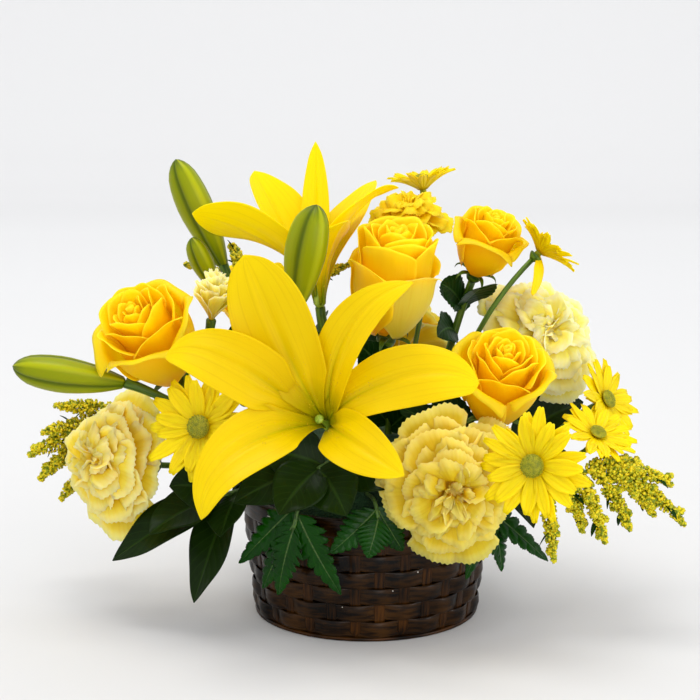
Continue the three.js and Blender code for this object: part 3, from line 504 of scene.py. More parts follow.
def leaf_finish(name, face, vein, young, roughness, side_veins, gloss):
    """A green leaf: a pale midrib, side veins that slant forward, and blotches of younger green."""
    finish, tree, shader = new_finish(
        name, roughness, coat_weight=gloss, coat_roughness=0.16, specular_ior_level=0.05
    )
    across, along = uv_of(tree)
    off_middle = from_middle(tree, across)
    forward = maths(tree, "MULTIPLY", along, side_veins)
    slant = maths(tree, "MULTIPLY_ADD", off_middle, -0.5 * side_veins, forward)
    ripple = maths(tree, "SINE", maths(tree, "MULTIPLY", slant, tau))
    rib = curve(tree, off_middle, [(0.012, 1), (0.045, 0)])
    lines = maths(tree, "MAXIMUM", rib, curve(tree, ripple, [(0.86, 0), (1.0, 0.4)]))
    ground = tint(tree, blotch_mask(tree, 70.0), face, young)
    colour = tint(tree, maths(tree, "MULTIPLY", lines, 0.6), ground, vein)
    tree.links.new(colour, shader.inputs["Base Color"])
    relief(tree, shader, maths(tree, "SUBTRACT", maths(tree, "MULTIPLY", ripple, 0.15), rib), 0.45, 0.0006)
    return finish


broad_leaf_greens = rgb(15, 29, 6), rgb(44, 66, 22), rgb(30, 48, 11)
broad_leaf_finish = leaf_finish("evergreen_leaf", *broad_leaf_greens, 0.4, 9.0, 0.05)
bark = [(0.35, rgb(30, 58, 14)), (0.65, rgb(70, 100, 30))]
bark_finish = plain_finish("green_twig", 0.6, (6.0, 30.0), bark, ((8.0, 60.0), 0.25, 0.0003))

# name: hole in the foam, way of the twig, leaves on it
TWIGS = {
    "left": (
        at_side(208, 84),
        [(-74, -40, 84), (-90, -46, 80)],
        [(0.95, (-150, -44, 42)), (0.82, (-101, -62, 22)), (0.99, (-126, -64, 64)), (0.9, (-114, -62, 92))]
        + [(0.75, (-84, -76, 66))],
    ),
    "front": (
        at_side(256, 101),
        [(-20, -66, 108), (-28, -76, 106)],
        [(0.85, (-76, -76, 86)), (0.95, (-50, -94, 84)), (1, (-12, -96, 84)), (0.7, (22, -72, 96))]
        + [(0.6, (6, -80, 118)), (0.9, (-62, -72, 114))],
    ),
    "right": (
        at_side(350, 100),
        [(76, -8, 102), (92, -8, 104)],
        [(0.9, (134, 28, 122)), (0.7, (98, -44, 62)), (1, (126, -18, 84))],
    ),
}
for name, (place, points, leaves) in TWIGS.items():
    twig = runner(place, points)
    bm = blank()
    rod(bm, twig, 1.4)
    solid_piece(f"twig_{name}", bm, [bark_finish], f"leaves_{name}")
    bm = blank()
    foliage(bm, twig, leaves, 16, wave=1.3)
    piece(f"broad_leaves_{name}", bm, [broad_leaf_finish], f"leaves_{name}", 0.5, 1)

# ---------- Fern ----------
# Leatherleaf fern over the rim. A leaflet is a glossy blade cut into saw-edged lobes that slant forward. They
# are long and free near its foot and run together towards its tip.
FERN_HALF, FERN_LOBES = 13.5, 8
fern_finish = leaf_finish("fern_green", rgb(8, 32, 3), rgb(40, 80, 16), rgb(22, 70, 8), 0.3, 8.0, 0.12)


def fern_leaflet(bm, start, tip, side):
    bend = bent(start, tip, Vector((start.x, start.y, 0)).normalized() * 5)
    rod(bm, bend, lambda share: 0.6 - 0.45 * share, sides=5, steps=10, finish=1)

    def blade_place(u, v):
        s = 2 * u - 1
        away, hand = abs(s), copysign(1, s)
        share = 0.02 + 0.98 * v
        lobe = (share * FERN_LOBES + (0.5 if hand > 0 else 0)) % 1
        swell = sin(pi * lobe) ** 0.5
        cut = 0.6 * (1 - share) ** 1.1 + 0.14
        half = FERN_HALF * min(1, 0.5 + 2.6 * share) * (1 - share) ** 0.72 * (1 - cut * (1 - swell))
        half *= 1 + 0.05 * sin(4 * tau * lobe) * (away > 0.6)
        way = bend.way(share)
        crosswise, up = frame_on(way, side)
        forward = way * (0.6 * half * away**1.2 * (1 - share * 0.5))
        pleat = 0.7 * swell * min(1, 3 * away) - 0.09 * half * away**2
        return bend.at(share) + forward + crosswise * (hand * max(0.1, half) * away) + up * (pleat + 0.1)

    sheet(bm, 8, FERN_LOBES * 11, blade_place)


# name: hole in the foam, way of the midrib, leaflets on it as (place along it, tip)
FERNS = {
    "front_left": (
        at_side(236, 84),
        [(-38, -72, 87), (-42, -80, 72)],
        [(0.76, (-74, -62, 46)), (0.93, (-60, -68, 33)), (1, (-51, -74, 31)), (0.86, (-15, -86, 35))],
    ),
    "front": (
        at_side(270, 84),
        [(4, -76, 87), (6, -83, 79)],
        [(0.9, (-21, -88, 60)), (1, (0, -90, 58)), (0.86, (20, -76, 58))],
    ),
    "right": (
        at_side(314, 82),
        [(60, -58, 85), (70, -60, 75)],
        [(0.9, (57, -64, 37)), (1, (78, -58, 40)), (0.8, (106, -48, 43))],
    ),
    "rear_left": (
        at_side(135, 84),
        [(-58, 58, 87), (-66, 66, 72)],
        [(0.75, (-88, 42, 50)), (1, (-70, 72, 32)), (0.9, (-40, 82, 44)), (0.7, (-96, 66, 92))],
    ),
    "rear_right": (
        at_side(50, 84),
        [(54, 62, 87), (60, 72, 72)],
        [(0.75, (86, 44, 50)), (1, (64, 80, 32)), (0.9, (34, 88, 44)), (0.7, (92, 74, 92))],
    ),
}
for name, (place, points, leaflets) in FERNS.items():
    rib = runner(place, points)
    bm = blank()
    rod(bm, rib, 1.2, steps=14)
    solid_piece(f"fern_rib_{name}", bm, [bark_finish], f"fern_{name}")
    bm = blank()
    for share, tip in leaflets:
        start, tip = rib.at(share), Vector(tip)
        side = (tip - start).cross(Vector((start.x, start.y, 40))).normalized()
        fern_leaflet(bm, start, tip, side)
    piece(f"fern_leaflets_{name}", bm, [fern_finish, bark_finish], f"fern_{name}", 0.35)

# ---------- Lilies ----------
# Two open lemon yellow lilies. Six broad tepals rise from a green throat as a funnel and arch over, three of
# them outside the other three. The stamens have been taken out, which leaves the style.


class Head:
    """A flower head: its foot, the way its own +Z faces, its roll about that way, its size and its traits."""

    def __init__(self, foot, facing, roll=0, size=1, **traits):
        self.foot, self.axis, self.size, self.traits = Vector(foot), Vector(facing).normalized(), size, traits
        turn = Vector((0, 0, 1)).rotation_difference(self.axis).to_matrix().to_4x4()
        self.seat = Matrix.Translation(self.foot) @ turn @ Matrix.Rotation(radians(roll), 4, "Z")

    def get(self, trait, usual):
        return self.traits.get(trait, usual)

    def below(self, drop):
        return self.foot - self.axis * drop

    def stem_from(self, place, drop=0):
        return stem_path(place, self.below(drop), self.axis)


def petal_finish(name, root, body, tip, vein, lines, vein_depth, roughness, glow, edge=None, painted_glow=0):
    """A petal, coloured from root to tip, with fine veins along it, and light that soaks through it. Its
    emission is a painted glow that lightens its shade.
    """
    finish, tree, shader = new_finish(
        name, roughness, subsurface_weight=glow, subsurface_scale=0.008, specular_ior_level=0.14
    )
    shader.inputs["Subsurface Radius"].default_value = (1.0, 0.62, 0.12)
    across, along = uv_of(tree)
    veins = fibre_mask(tree, lines, 1.6, 0.25)
    blotch = blotch_mask(tree, 45.0)
    uneven = maths(tree, "MULTIPLY_ADD", blotch, 0.16, maths(tree, "SUBTRACT", along, 0.08))
    colour = curve(tree, uneven, [(0.04, root), (0.34, body), (0.72, body), (1.0, tip)])
    shade = maths(tree, "MULTIPLY", curve(tree, veins, [(0.32, 1), (0.5, 0)]), vein_depth)
    colour = tint(tree, shade, colour, vein)
    # The paler rim along the sides and lip is partly the petal's own paler edge and partly a painted
    # highlight where the rolled lip catches the light.
    if edge:
        rim = maths(tree, "MAXIMUM", maths(tree, "MULTIPLY", from_middle(tree, across), 2.0), along)
        colour = tint(tree, curve(tree, rim, [(0.86, 0), (1.0, 0.75)]), colour, edge)
    tree.links.new(colour, shader.inputs["Base Color"])
    # Painted glow: a little emission in the petal's own colour lightens its shade.
    if painted_glow:
        tree.links.new(colour, shader.inputs["Emission Color"])
        shader.inputs["Emission Strength"].default_value = painted_glow
    tree.links.new(maths(tree, "MULTIPLY_ADD", blotch, 0.16, roughness - 0.08), shader.inputs["Roughness"])
    relief(tree, shader, veins, 0.28, 0.0004)
    return finish


def lily_tepal_finish(name, root, body, tip, vein, glow):
    """A tepal's finish, with a green furrow along the lower half of its midrib."""
    finish = petal_finish(name, root, body, tip, vein, 34.0, 0.34, 0.4, glow)
    tree, shader = finish.node_tree, finish.node_tree.nodes["Principled BSDF"]
    shader.inputs["Specular IOR Level"].default_value = 0.09
    across, along = uv_of(tree)
    rib = curve(tree, from_middle(tree, across), [(0.0, 1), (0.035, 0.5), (0.17, 0)])
    furrow = maths(tree, "MULTIPLY", rib, curve(tree, along, [(0.1, 0.9), (0.62, 0)]))
    colour = shader.inputs["Base Color"].links[0].from_socket
    tree.links.new(tint(tree, furrow, colour, rgb(124, 142, 4)), shader.inputs["Base Color"])
    return finish


lily_finish = lily_tepal_finish(
    "lily_tepal", rgb(92, 118, 3), rgb(225, 184, 1), rgb(236, 197, 2), rgb(204, 158, 1), 0.3
)
# The back lily wears a brighter copy of the tepal finish that lets more light through: painted light that
# lifts the shade on its face.
back_lily_brightened_finish = lily_tepal_finish(
    "back_lily_brightened_tepal", rgb(106, 128, 3), rgb(246, 202, 3), rgb(248, 206, 4), rgb(226, 178, 2), 0.5
)
style_green = [(0.35, rgb(118, 152, 30)), (0.65, rgb(168, 190, 60))]
style_finish = plain_finish(
    "lily_style", 0.4, (8.0, 3.0), style_green, subsurface_weight=0.15, subsurface_scale=0.003
)
freckle_finish = plain_finish("lily_freckle", 0.5, 200.0, [(0.4, rgb(222, 184, 6)), (0.6, rgb(196, 160, 6))])


def tepal(
    bm, rng, foot, axis, tip, width, arch, outer=False, bow=(0, 0, 0), twist=0, blunt=0.0, claw=0.8, back=0
):
    """A broad tepal from the throat to its tip. claw is how far round the throat its foot reaches."""
    tip = Vector(tip)
    rise = tip - foot
    away = (rise - axis * rise.dot(axis)).normalized()
    path = Path(
        (
            foot + away * (3.4 if outer else 2) + axis * 2,
            foot + away * (5 if outer else 1.5) + axis * 34 * (0.85 if outer else 1),
            tip + axis * arch - rise * 0.3 + Vector(bow),
            tip,
        )
    )
    phase, ruffle = rng.uniform(0, 6), rng.uniform(0.8, 1.5)

    def tepal_place(u, v):
        s = 2 * u - 1
        middle = path.at(v)
        way = path.way(v)
        radial = middle - foot
        radial -= axis * radial.dot(axis)
        taper = sin(pi * min(1, 0.06 + 0.95 * v ** (1.15 + blunt)))
        half = max(0.3, width / 2 * taper ** (0.62 - 0.25 * blunt))
        turn = s * min(claw + max(0, v - 0.35), half / max(radial.length, 1))
        across = Matrix.Rotation(turn, 3, axis) @ radial - radial
        across = Matrix.Rotation(radians(twist) * v, 3, way) @ across
        flat = (Matrix.Rotation(0.01, 3, axis) @ radial - radial).normalized()
        up = (way.cross(flat) if way.cross(flat).dot(axis) > 0 else flat.cross(way)).normalized()
        ends = min(1, 5 * v, 6 * (1 - v))
        lift = -1.15 * exp(-((s / 0.08) ** 2)) * min(1, 2.5 * (1 - v))
        lift += 0.6 * (exp(-(((abs(s) - 0.22) / 0.1) ** 2))) * min(1, 2.2 * (1 - v))
        lift += ruffle * abs(s) ** 3 * sin(12 * v + phase + 2 * s) * ends
        rise_on_axis = 5.5 * s * s * v * (1 - v) - back * sin(pi * min(1, 2 * v))
        return middle + across + axis * rise_on_axis + up * lift

    sheet(bm, 20, 34, tepal_place)
    return tepal_place


def lily(name, head, finish, node):
    rng = random.Random(len(name))
    bm = blank()
    places = [tepal(bm, rng, head.foot, head.axis, **tepal_shape) for tepal_shape in head.traits["tepals"]]
    piece(f"{name}_tepals", bm, [finish], node, thickness=0.55, rounds=1)
    bm = blank()
    p = head.traits["pistil"]
    profile = [(0, 0), (2.6, 0.3), (3.6, 2.5), (3.3, 6), (1.5, 9), (1.1, 14)]
    profile += [(1.1, p - 2), (1.5, p), (2.7, p + 2.4), (2.2, p + 3.8), (0, p + 3.4)]
    turned(bm, profile, 18, head.seat)
    for place in places:
        for _ in range(26):
            u, v = 0.5 + rng.uniform(-0.24, 0.24), rng.uniform(0.16, 0.48)
            spot = place(u, v)
            up = (place(u + 0.02, v) - spot).cross(place(u, v + 0.02) - spot).normalized()
            up = up if up.dot(head.axis) > 0 else -up
            turned(bm, [(0, 0), (0.3, 0.1), (0.2, 0.5), (0, 0.6)], 5, Head(spot, up).seat, 1)
    solid_piece(f"{name}_style", bm, [style_finish, freckle_finish], node)


NARROW_FOOT = dict(claw=0.54, back=2.4)
front_lily = Head(
    (-21, -68, 129),
    (-0.34, -0.84, 0.42),
    pistil=16,
    tepals=[
        dict(tip=(-68, -92, 231), width=47, arch=6, blunt=0.55),
        dict(tip=(24, -112, 219), width=28, arch=14, outer=True, bow=(-26, 0, 12)),
        dict(tip=(60, -118, 165), width=36, arch=16, bow=(0, 0, 24), blunt=0.7),
        dict(tip=(19, -138, 118), width=32, arch=18, outer=True),
        dict(tip=(-91, -128, 91), width=37, arch=20, bow=(-18, 0, 22)),
        dict(tip=(-111, -104, 177), width=37, arch=22, outer=True, bow=(0, 0, 26), blunt=0.25, **NARROW_FOOT),
    ],
)
back_lily = Head(
    (-28, 12, 184),
    (-0.1, -0.05, 1),
    pistil=48,
    tepals=[
        dict(tip=(-103, -6, 243), width=40, arch=16, twist=55, blunt=0.3),
        dict(tip=(-68, 34, 264), width=40, arch=4, outer=True, blunt=0.5),
        dict(tip=(-31, 42, 281), width=18, arch=2),
        dict(tip=(6, 54, 256), width=30, arch=14, outer=True),
        dict(tip=(19, 14, 256), width=32, arch=26, twist=-30),
        dict(tip=(-12, -16, 240), width=34, arch=12, outer=True),
    ],
)
lily("front_lily", front_lily, lily_finish, "lily_front_bloom")
lily("back_lily", back_lily, back_lily_brightened_finish, "lily_back_bloom")

# ---------- Lily stems and buds ----------
# A bud is three-cornered, with a deep groove where two tepals meet. It is yellow-green, and darker at its tip
# and foot. The front lily's stem carries one bud and the back lily's two, and one more lies out at the left.
bud_finish, tree, shader = new_finish(
    "lily_bud", 0.38, subsurface_weight=0.12, subsurface_scale=0.003, specular_ior_level=0.14
)
across, along = uv_of(tree)
seam = maths(tree, "COSINE", maths(tree, "MULTIPLY", across, 3 * tau))
seam = maths(tree, "MULTIPLY_ADD", seam, 0.5, 0.5)
along = maths(tree, "MULTIPLY_ADD", fibre_mask(tree, 30.0, 1.4), 0.2, maths(tree, "SUBTRACT", along, 0.1))
greens = [(0.05, rgb(84, 108, 8)), (0.35, rgb(142, 150, 6)), (0.75, rgb(130, 140, 5)), (0.97, rgb(66, 84, 6))]
# The grooves are painted a darker green: painted shade where the tepals meet.
painted_groove_shade = curve(tree, seam, [(0.6, 0), (0.9, 0.25), (1.0, 0.8)])
pale_ridge = curve(tree, seam, [(0.0, 0.7), (0.12, 0)])
colour = tint(tree, painted_groove_shade, curve(tree, along, greens), rgb(62, 80, 3))
tree.links.new(tint(tree, pale_ridge, colour, rgb(172, 176, 20)), shader.inputs["Base Color"])
relief(tree, shader, fibre_mask(tree, 40.0, 1.2), 0.2, 0.0004)
stem_green = [(0.35, rgb(44, 72, 12)), (0.65, rgb(88, 116, 28))]
stem_finish = plain_finish(
    "flower_stem", 0.45, (10.0, 6.0), stem_green, ((14.0, 3.0), 0.25, 0.0004), specular_ior_level=0.3
)


BUD_RADIUS, BUD_LENGTH = 11.4, 66
# radius and height of a bud, as shares of the whole
BUD_ROWS = [(0, -0.03), (0.2, -0.02), (0.34, 0.0), (0.5, 0.08), (0.66, 0.17), (0.78, 0.26), (0.9, 0.38)]
BUD_ROWS += [(0.98, 0.49), (1.0, 0.58), (0.97, 0.68), (0.9, 0.77), (0.79, 0.85), (0.62, 0.91), (0.42, 0.955)]
BUD_ROWS += [(0.2, 0.985), (0, 1)]


def bud(bm, foot, tip, plump=1.0):
    length = (tip - foot).length
    radius = BUD_RADIUS * min(1, length / BUD_LENGTH + 0.12) * plump
    matrix = Head(foot, tip - foot).seat
    last = len(BUD_ROWS) - 1

    def bud_place(u, v):
        r, z = BUD_ROWS[round(v * last)]
        turn = tau * u
        groove = 1 - 0.07 * (1 + cos(3 * turn)) - 0.1 * max(0, cos(3 * turn)) ** 10
        groove += 0.035 * max(0, -cos(3 * turn)) ** 14
        return matrix @ spoke(turn, r * radius * groove, z * length)

    sheet(bm, 48, last, bud_place, 1)


def side_stalk(bm, path, share, foot, arriving, radius):
    start = path.at(share)
    reach = (foot - start).length * 0.4
    near_foot = foot - Vector(arriving).normalized() * reach
    branch = Path((start, start + path.way(share) * reach, near_foot, foot))
    rod(bm, branch, radius, steps=14)
    return branch


front_bud, back_bud, low_bud = Vector((-41, -30, 192)), Vector((-87, 22, 209)), Vector((-90, 4, 196))
bm = blank()
front_stem = front_lily.stem_from(at_top(-8, -32))
rod(bm, front_stem, STEM_RADIUS["lily"])
side_stalk(bm, front_stem, 0.6, front_bud, (0, 0, 1), lambda share: 2 + 1.4 * share**6)
bud(bm, front_bud, Vector((-29, -36, 252)), plump=1.14)
solid_piece("front_lily_stem", bm, [stem_finish, bud_finish], "lily_front_stem")

bm = blank()
back_stem = back_lily.stem_from(at_top(-12, 8))
rod(bm, back_stem, STEM_RADIUS["lily"])
upper = side_stalk(bm, back_stem, 0.66, back_bud, (-0.3, 0, 1), lambda share: 2 + 1.2 * share**6)
side_stalk(bm, upper, 0.55, low_bud, (-0.3, 0, 1), lambda share: 1.8 + 0.8 * share**6)
bud(bm, back_bud, Vector((-115, 26, 272)))
bud(bm, low_bud, Vector((-104, 0, 228)))
solid_piece("back_lily_stem", bm, [stem_finish, bud_finish], "lily_back_stem")

bm = blank()
left_stem = stem_path(at_side(200, 98), Vector((-141.5, -32, 147)), Vector((-1, 0, 0.35)))
rod(bm, left_stem, lambda share: 2.2 + 1.3 * share**8)
bud(bm, Vector((-143, -32, 147)), Vector((-207, -34, 157)))
solid_piece("left_lily_bud", bm, [stem_finish, bud_finish], "lily_left_bud")

# ---------- Roses ----------
# Golden roses. Petals wrap round a furled heart, each ring wider and lower than the one inside it, with one
# edge over its neighbour and the other under, and their lips roll outwards. Five sepals hang below. One outer
# petal of the centre rose is a pale guard petal.
# The petals are painted deeper orange towards their roots: partly the rose's own deeper gold heart and partly
# painted shade deep inside the bloom.
rose_golds = rgb(255, 154, 0), rgb(253, 188, 1), rgb(255, 202, 6), rgb(247, 170, 1)
# The last number of each rose finish is a faint painted glow that lightens the petals' shade.
rose_finish = petal_finish("rose_petal", *rose_golds, 26.0, 0.14, 0.5, 0.6, rgb(255, 206, 34), 0.05)
guard_yellows = rgb(214, 196, 50), rgb(252, 216, 62), rgb(255, 208, 30), rgb(236, 192, 30)
guard_finish = petal_finish("rose_guard_petal", *guard_yellows, 26.0, 0.3, 0.5, 0.6, rgb(255, 226, 96), 0.04)
ROSE_HEIGHT, ROSE_RADIUS = 50, 28
# ring: petals, root, belly, flare at the lip, height, curl of the lip, half the span
ROSE_RINGS = [
    (3, 0.03, 0.10, 0.04, 0.95, 0.01, 1.45),
    (3, 0.06, 0.17, 0.06, 0.97, 0.02, 1.35),
    (3, 0.10, 0.26, 0.07, 0.98, 0.03, 1.30),
    (3, 0.15, 0.36, 0.09, 0.99, 0.04, 1.28),
    (4, 0.20, 0.48, 0.10, 0.98, 0.06, 1.05),
    (4, 0.30, 0.61, 0.14, 0.94, 0.10, 1.00),
    (4, 0.40, 0.77, 0.22, 0.86, 0.20, 0.98),
]


def rose(bm, head, seed):
    rng = random.Random(seed)
    openness, barrel = head.get("open", 1), head.get("barrel", 0)
    height, full = ROSE_HEIGHT * head.size * head.get("tall", 1), ROSE_RADIUS * head.size

    def heart_place(u, v):
        turn = tau * 2.3 * u
        z = height * (0.1 + v * (0.82 - 0.02 * sin(turn)))
        return head.seat @ spoke(turn, full * (0.03 + 0.06 * u) * (0.6 + 0.4 * v), z)

    sheet(bm, 36, 6, heart_place)
    for ring, (count, root, belly, flare, top, curl, span) in enumerate(ROSE_RINGS):
        belly += barrel * (0.12 if 2 < ring < 6 else 0.04)
        top -= barrel * (0.1 if ring == 6 else 0)
        for k in range(count):
            middle = k * tau / count + (ring - 3) * radians(52) + rng.uniform(-0.12, 0.12)
            lift = 1 - 0.06 * rng.random()
            wave, bend, point = rng.uniform(0, 6), rng.uniform(0.6, 1.4), rng.uniform(0, 0.03)
            outer = ring > 4
            droop = 0.12 - 0.06 * barrel
            spread = (openness if outer else 0.6 + 0.4 * openness) * rng.uniform(0.8, 1.15)

            def petal_place(u, v):
                s = 2 * u - 1
                lip = max(0, v - 0.68) / 0.32
                corner = abs(s) ** 2.6
                swell = sin(min(1, v * 1.6) * pi / 2)
                tuck = s * (0.9 if outer else 0.6) * min(1, v * 3) / full
                ripple = 0.014 * sin(7 * s + wave) * lip * (1 + ring * 0.2)
                radius = root + (belly - root) * swell + tuck + ripple
                radius += flare * spread * lip**1.8 * (1 + 0.3 * corner * bend)
                z = lift * top * (0.025 + 0.975 * v) - curl * spread * lip**2.6 * (0.8 + 0.4 * corner)
                z -= corner * top * droop * v - point * v**6 * exp(-((s / 0.3) ** 2))
                turn = middle + s * span * min(1, 0.28 + 2.4 * v) * (1 - 0.2 * v * v)
                return head.seat @ spoke(turn, full * radius, height * z)

            sheet(bm, 12, 12, petal_place, 1 if ring == 6 and k == 1 else 0)


def calyx(bm, head):
    """The green cup under a bloom, and five sepals that hang down from it."""
    radius, length, spread = 5.6 * head.size, 9 * head.size, 17 * head.size
    cup = [(0, -1), (0.4, -1), (0.85, -0.75), (1, -0.5), (0.95, -0.15)]
    profile = [(r * radius, z * length) for r, z in cup] + [(0.8 * radius, 0.4), (0, 0.6)]
    turned(bm, profile, 16, head.seat)
    for k in range(5):
        turn = (k + 0.5) * tau / 5 + 0.31

        def sepal_place(u, v):
            s = 2 * u - 1
            half = 0.34 * radius * (1 - v) ** 0.7 * (1.25 - 0.5 * abs(v - 0.3)) + 0.15
            out = 0.9 * radius + (spread - 0.9 * radius) * sin(v * 1.5)
            z = -0.2 * length - 0.5 * length * v**2 + 1.5 * sin(v * 3)
            return head.seat @ (spoke(turn, out, z + 0.8 * s * s) + beside(turn) * s * half)

        top = sheet(bm, 4, 9, sepal_place)
        faces = list(dict.fromkeys(face for vert in top for face in vert.link_faces))
        bmesh.ops.solidify(bm, geom=faces, thickness=0.45)


rose_leaf_greens = rgb(16, 40, 12), rgb(66, 98, 44), rgb(30, 60, 18)
rose_leaf_finish = leaf_finish("rose_leaf", *rose_leaf_greens, 0.45, 8.0, 0.04)
# name: seed, hole in the foam, bloom, leaves on the stem
ROSES = {
    "left": (11, at_side(184, 94), Head((-113, -22, 152), (-0.4, -0.55, 0.75), 10, 1.18, tall=1.08), []),
    "centre": (
        12,
        at_top(14, 2),
        Head((12, -3, 171), (0.1, -0.22, 0.97), 60, 1.06, tall=1.36, open=0.5, barrel=1),
        [(0.6, (34, -34, 150)), (0.7, (-6, -22, 168)), (0.3, (-10, -20, 138)), (0.25, (36, -22, 130))],
    ),
    "right": (
        13,
        at_side(333, 98),
        Head((74, -36, 129), (0.1, -0.55, 0.83), 75, 1.08, tall=1.1),
        [(0.5, (17, -50, 137)), (0.62, (36, -44, 146))],
    ),
    "upper": (
        14,
        at_top(38, 8),
        Head((66, 18, 205), (0.3, -0.3, 0.9), 20, 0.84, open=1.2),
        [(0.84, (44, 0, 200)), (0.84, (76, -12, 202)), (0.8, (48, 44, 192)), (0.7, (42, -10, 170))],
    ),
    "rear": (
        15,
        at_top(-22, 34),
        Head((-62, 66, 162), (-0.4, 0.6, 0.7), 0, 0.95),
        [(0.6, (-24, 82, 170)), (0.7, (-88, 84, 140)), (0.45, (-44, 86, 116))],
    ),
}


def flower_stem(kind, name, head, place, drop, crown, leaves, *blade):
    """The stem of a rose or carnation, with the crown that holds its petals, and its leaves."""
    path = head.stem_from(place, drop)
    bm = blank()
    rod(bm, path, STEM_RADIUS[kind])
    crown(bm, head)
    solid_piece(f"{kind}_stalk_{name}", bm, [stem_finish], f"{kind}_{name}_stem")
    if leaves:
        bm = blank()
        foliage(bm, path, leaves, *blade, lie=30)
        piece(f"{kind}_leaves_{name}", bm, [rose_leaf_finish], f"{kind}_{name}_stem", 0.4, 1)


for name, (seed, place, head, leaves) in ROSES.items():
    flower_stem("rose", name, head, place, 7 * head.size, calyx, leaves, 11, 11, 0.22)
    bm = blank()
    rose(bm, head, seed)
    finishes = [rose_finish, guard_finish if name == "centre" else rose_finish]
    piece(f"rose_petals_{name}", bm, finishes, f"rose_{name}_bloom", 0.32, 1)

# ---------- Carnations ----------
# Pale yellow carnations, crowded with fan-shaped petals whose edges are cut into teeth and gathered into
# folds. The petals stand in a long green tube. The one at the top is golden.
# The last colour of each is the petal's paler rim: partly its own paler edge and partly a painted highlight
# on the lip.
CARNATION_COLOURS = {
    # The deep copy, worn by the front carnation, is darker than the others: painted shade.
    "deep": (rgb(200, 132, 3), rgb(226, 174, 15), rgb(238, 202, 56), rgb(198, 136, 5), rgb(248, 224, 118)),
    "middle": (rgb(226, 158, 6), rgb(252, 204, 36), rgb(255, 226, 88), rgb(226, 164, 12), rgb(255, 240, 158)),
    "pale": (rgb(246, 200, 24), rgb(255, 228, 78), rgb(255, 240, 128), rgb(244, 204, 36), rgb(255, 250, 186)),
    "golden": (rgb(255, 176, 2), rgb(255, 202, 5), rgb(255, 210, 12), rgb(252, 180, 2), rgb(255, 220, 44)),
}
# Carnation petals get a very faint painted glow that lightens their shade.
carnation_finishes = {
    shade: petal_finish(f"{shade}_carnation_petal", *colours, 44.0, 0.16, 0.55, 0.5, edge=edge, painted_glow=0.02)
    for shade, (*colours, edge) in CARNATION_COLOURS.items()
}
CARNATION_RADIUS, CARNATION_DEPTH = 37, 24
# ring: petals, reach, height, half width, depth of the folds, how far the lip rolls over. A head may have a
# few longer fans of its own, as (way they point, reach, half width).
CARNATION_RINGS = [
    (7, 1.00, 0.30, 0.52, 0.040, 0.10),
    (7, 0.94, 0.56, 0.50, 0.050, 0.12),
    (6, 0.80, 0.82, 0.48, 0.065, 0.16),
    (6, 0.65, 1.00, 0.44, 0.080, 0.20),
    (6, 0.50, 1.12, 0.42, 0.085, 0.20),
    (5, 0.34, 1.18, 0.36, 0.085, 0.16),
    (4, 0.18, 1.18, 0.30, 0.070, 0.10),
]


def carnation_petal(bm, matrix, rng, middle, full, depth, out, up, half, deep, roll_over, steep=0):
    """One fan: narrow at its claw, broad and toothed at its lip, with a few soft folds."""
    path = Path(
        (
            Vector((0.07 * full, 0, 0)),
            Vector((0.08 * full + 0.12 * out + 0.2 * steep * out, 0, 0.5 * up + 0.25 * depth * (1 - steep))),
            Vector((0.5 * out + 0.3 * steep * out, 0, up + (0.2 + roll_over - 0.4 * steep) * depth)),
            Vector((out, 0, up + 0.15 * steep * depth)),
        )
    )
    folds, phase = rng.uniform(1.2, 2.0), rng.uniform(0, 6)
    roll, lobe = rng.uniform(-0.22, 0.22), rng.uniform(0.5, 1.3)

    def petal_place(u, v):
        s = 2 * u - 1
        tooth = 0.022 * (round(u * 26) % 2) + 0.03 * lobe * sin(7.3 * u + phase) - 0.12 * abs(s) ** 3
        share = v * (1 + tooth * v**3)
        middle_point, way = path.at(share), path.way(min(1, share))
        lift = Vector((-way.z, 0, way.x))
        fold = folds * pi * s
        wave = sin(fold + phase) + 0.3 * sin(2.7 * fold + 2 * phase) * v
        spot = middle_point + lift * (deep * v**1.3 * wave + roll * half * s * v)
        reach = spot.x if spot.x > 2 else 2 * exp(spot.x / 2 - 1)
        turn = middle + s * min(1.25, half * v ** (0.7 - 0.3 * steep) / max(2.0, reach))
        return matrix @ spoke(turn, reach, spot.z)

    sheet(bm, 26, 8, petal_place)


def carnation(bm, head, seed):
    rng = random.Random(seed)
    crowd, upright = head.get("petals", 8) / 8, head.get("upright", 0)
    full, depth = CARNATION_RADIUS * head.size * (1 - 0.2 * upright), CARNATION_DEPTH * head.size
    cushion = [(0, 0.15), (0.1, 0.25), (0.26, 0.5), (0.34, 0.7), (0.3, 0.84), (0.16, 0.92), (0, 0.94)]
    turned(bm, [(r * full, z * (1 + upright) * depth) for r, z in cushion], 24, head.seat)
    for ring, (count, reach, height, broad_half, fold, roll_over) in enumerate(CARNATION_RINGS):
        count = max(3, round(count * crowd))
        for k in range(count):
            middle = (k + 0.5 * ring + rng.uniform(-0.25, 0.25)) * tau / count
            out = reach * full * rng.uniform(0.88, 1.06)
            up = (height + upright) * depth * rng.uniform(0.88, 1.1)
            half, deep = broad_half * full * rng.uniform(0.85, 1.15), fold * full * rng.uniform(0.8, 1.3)
            deep = min(deep, 0.22 * out)
            shape = (middle, full, depth, out, up, half, deep, roll_over, min(1, upright))
            carnation_petal(bm, head.seat, rng, *shape)
    for towards, reach, broad_half in head.get("fans", ()):
        away = head.seat.to_3x3().inverted() @ Vector(towards)
        middle, out, half = atan2(away.y, away.x), reach * full, broad_half * full
        carnation_petal(bm, head.seat, rng, middle, full, depth, out, 0.12 * depth, half, 0.045 * full, 0.1)


def neck_of(head):
    return head.get("neck", 20)


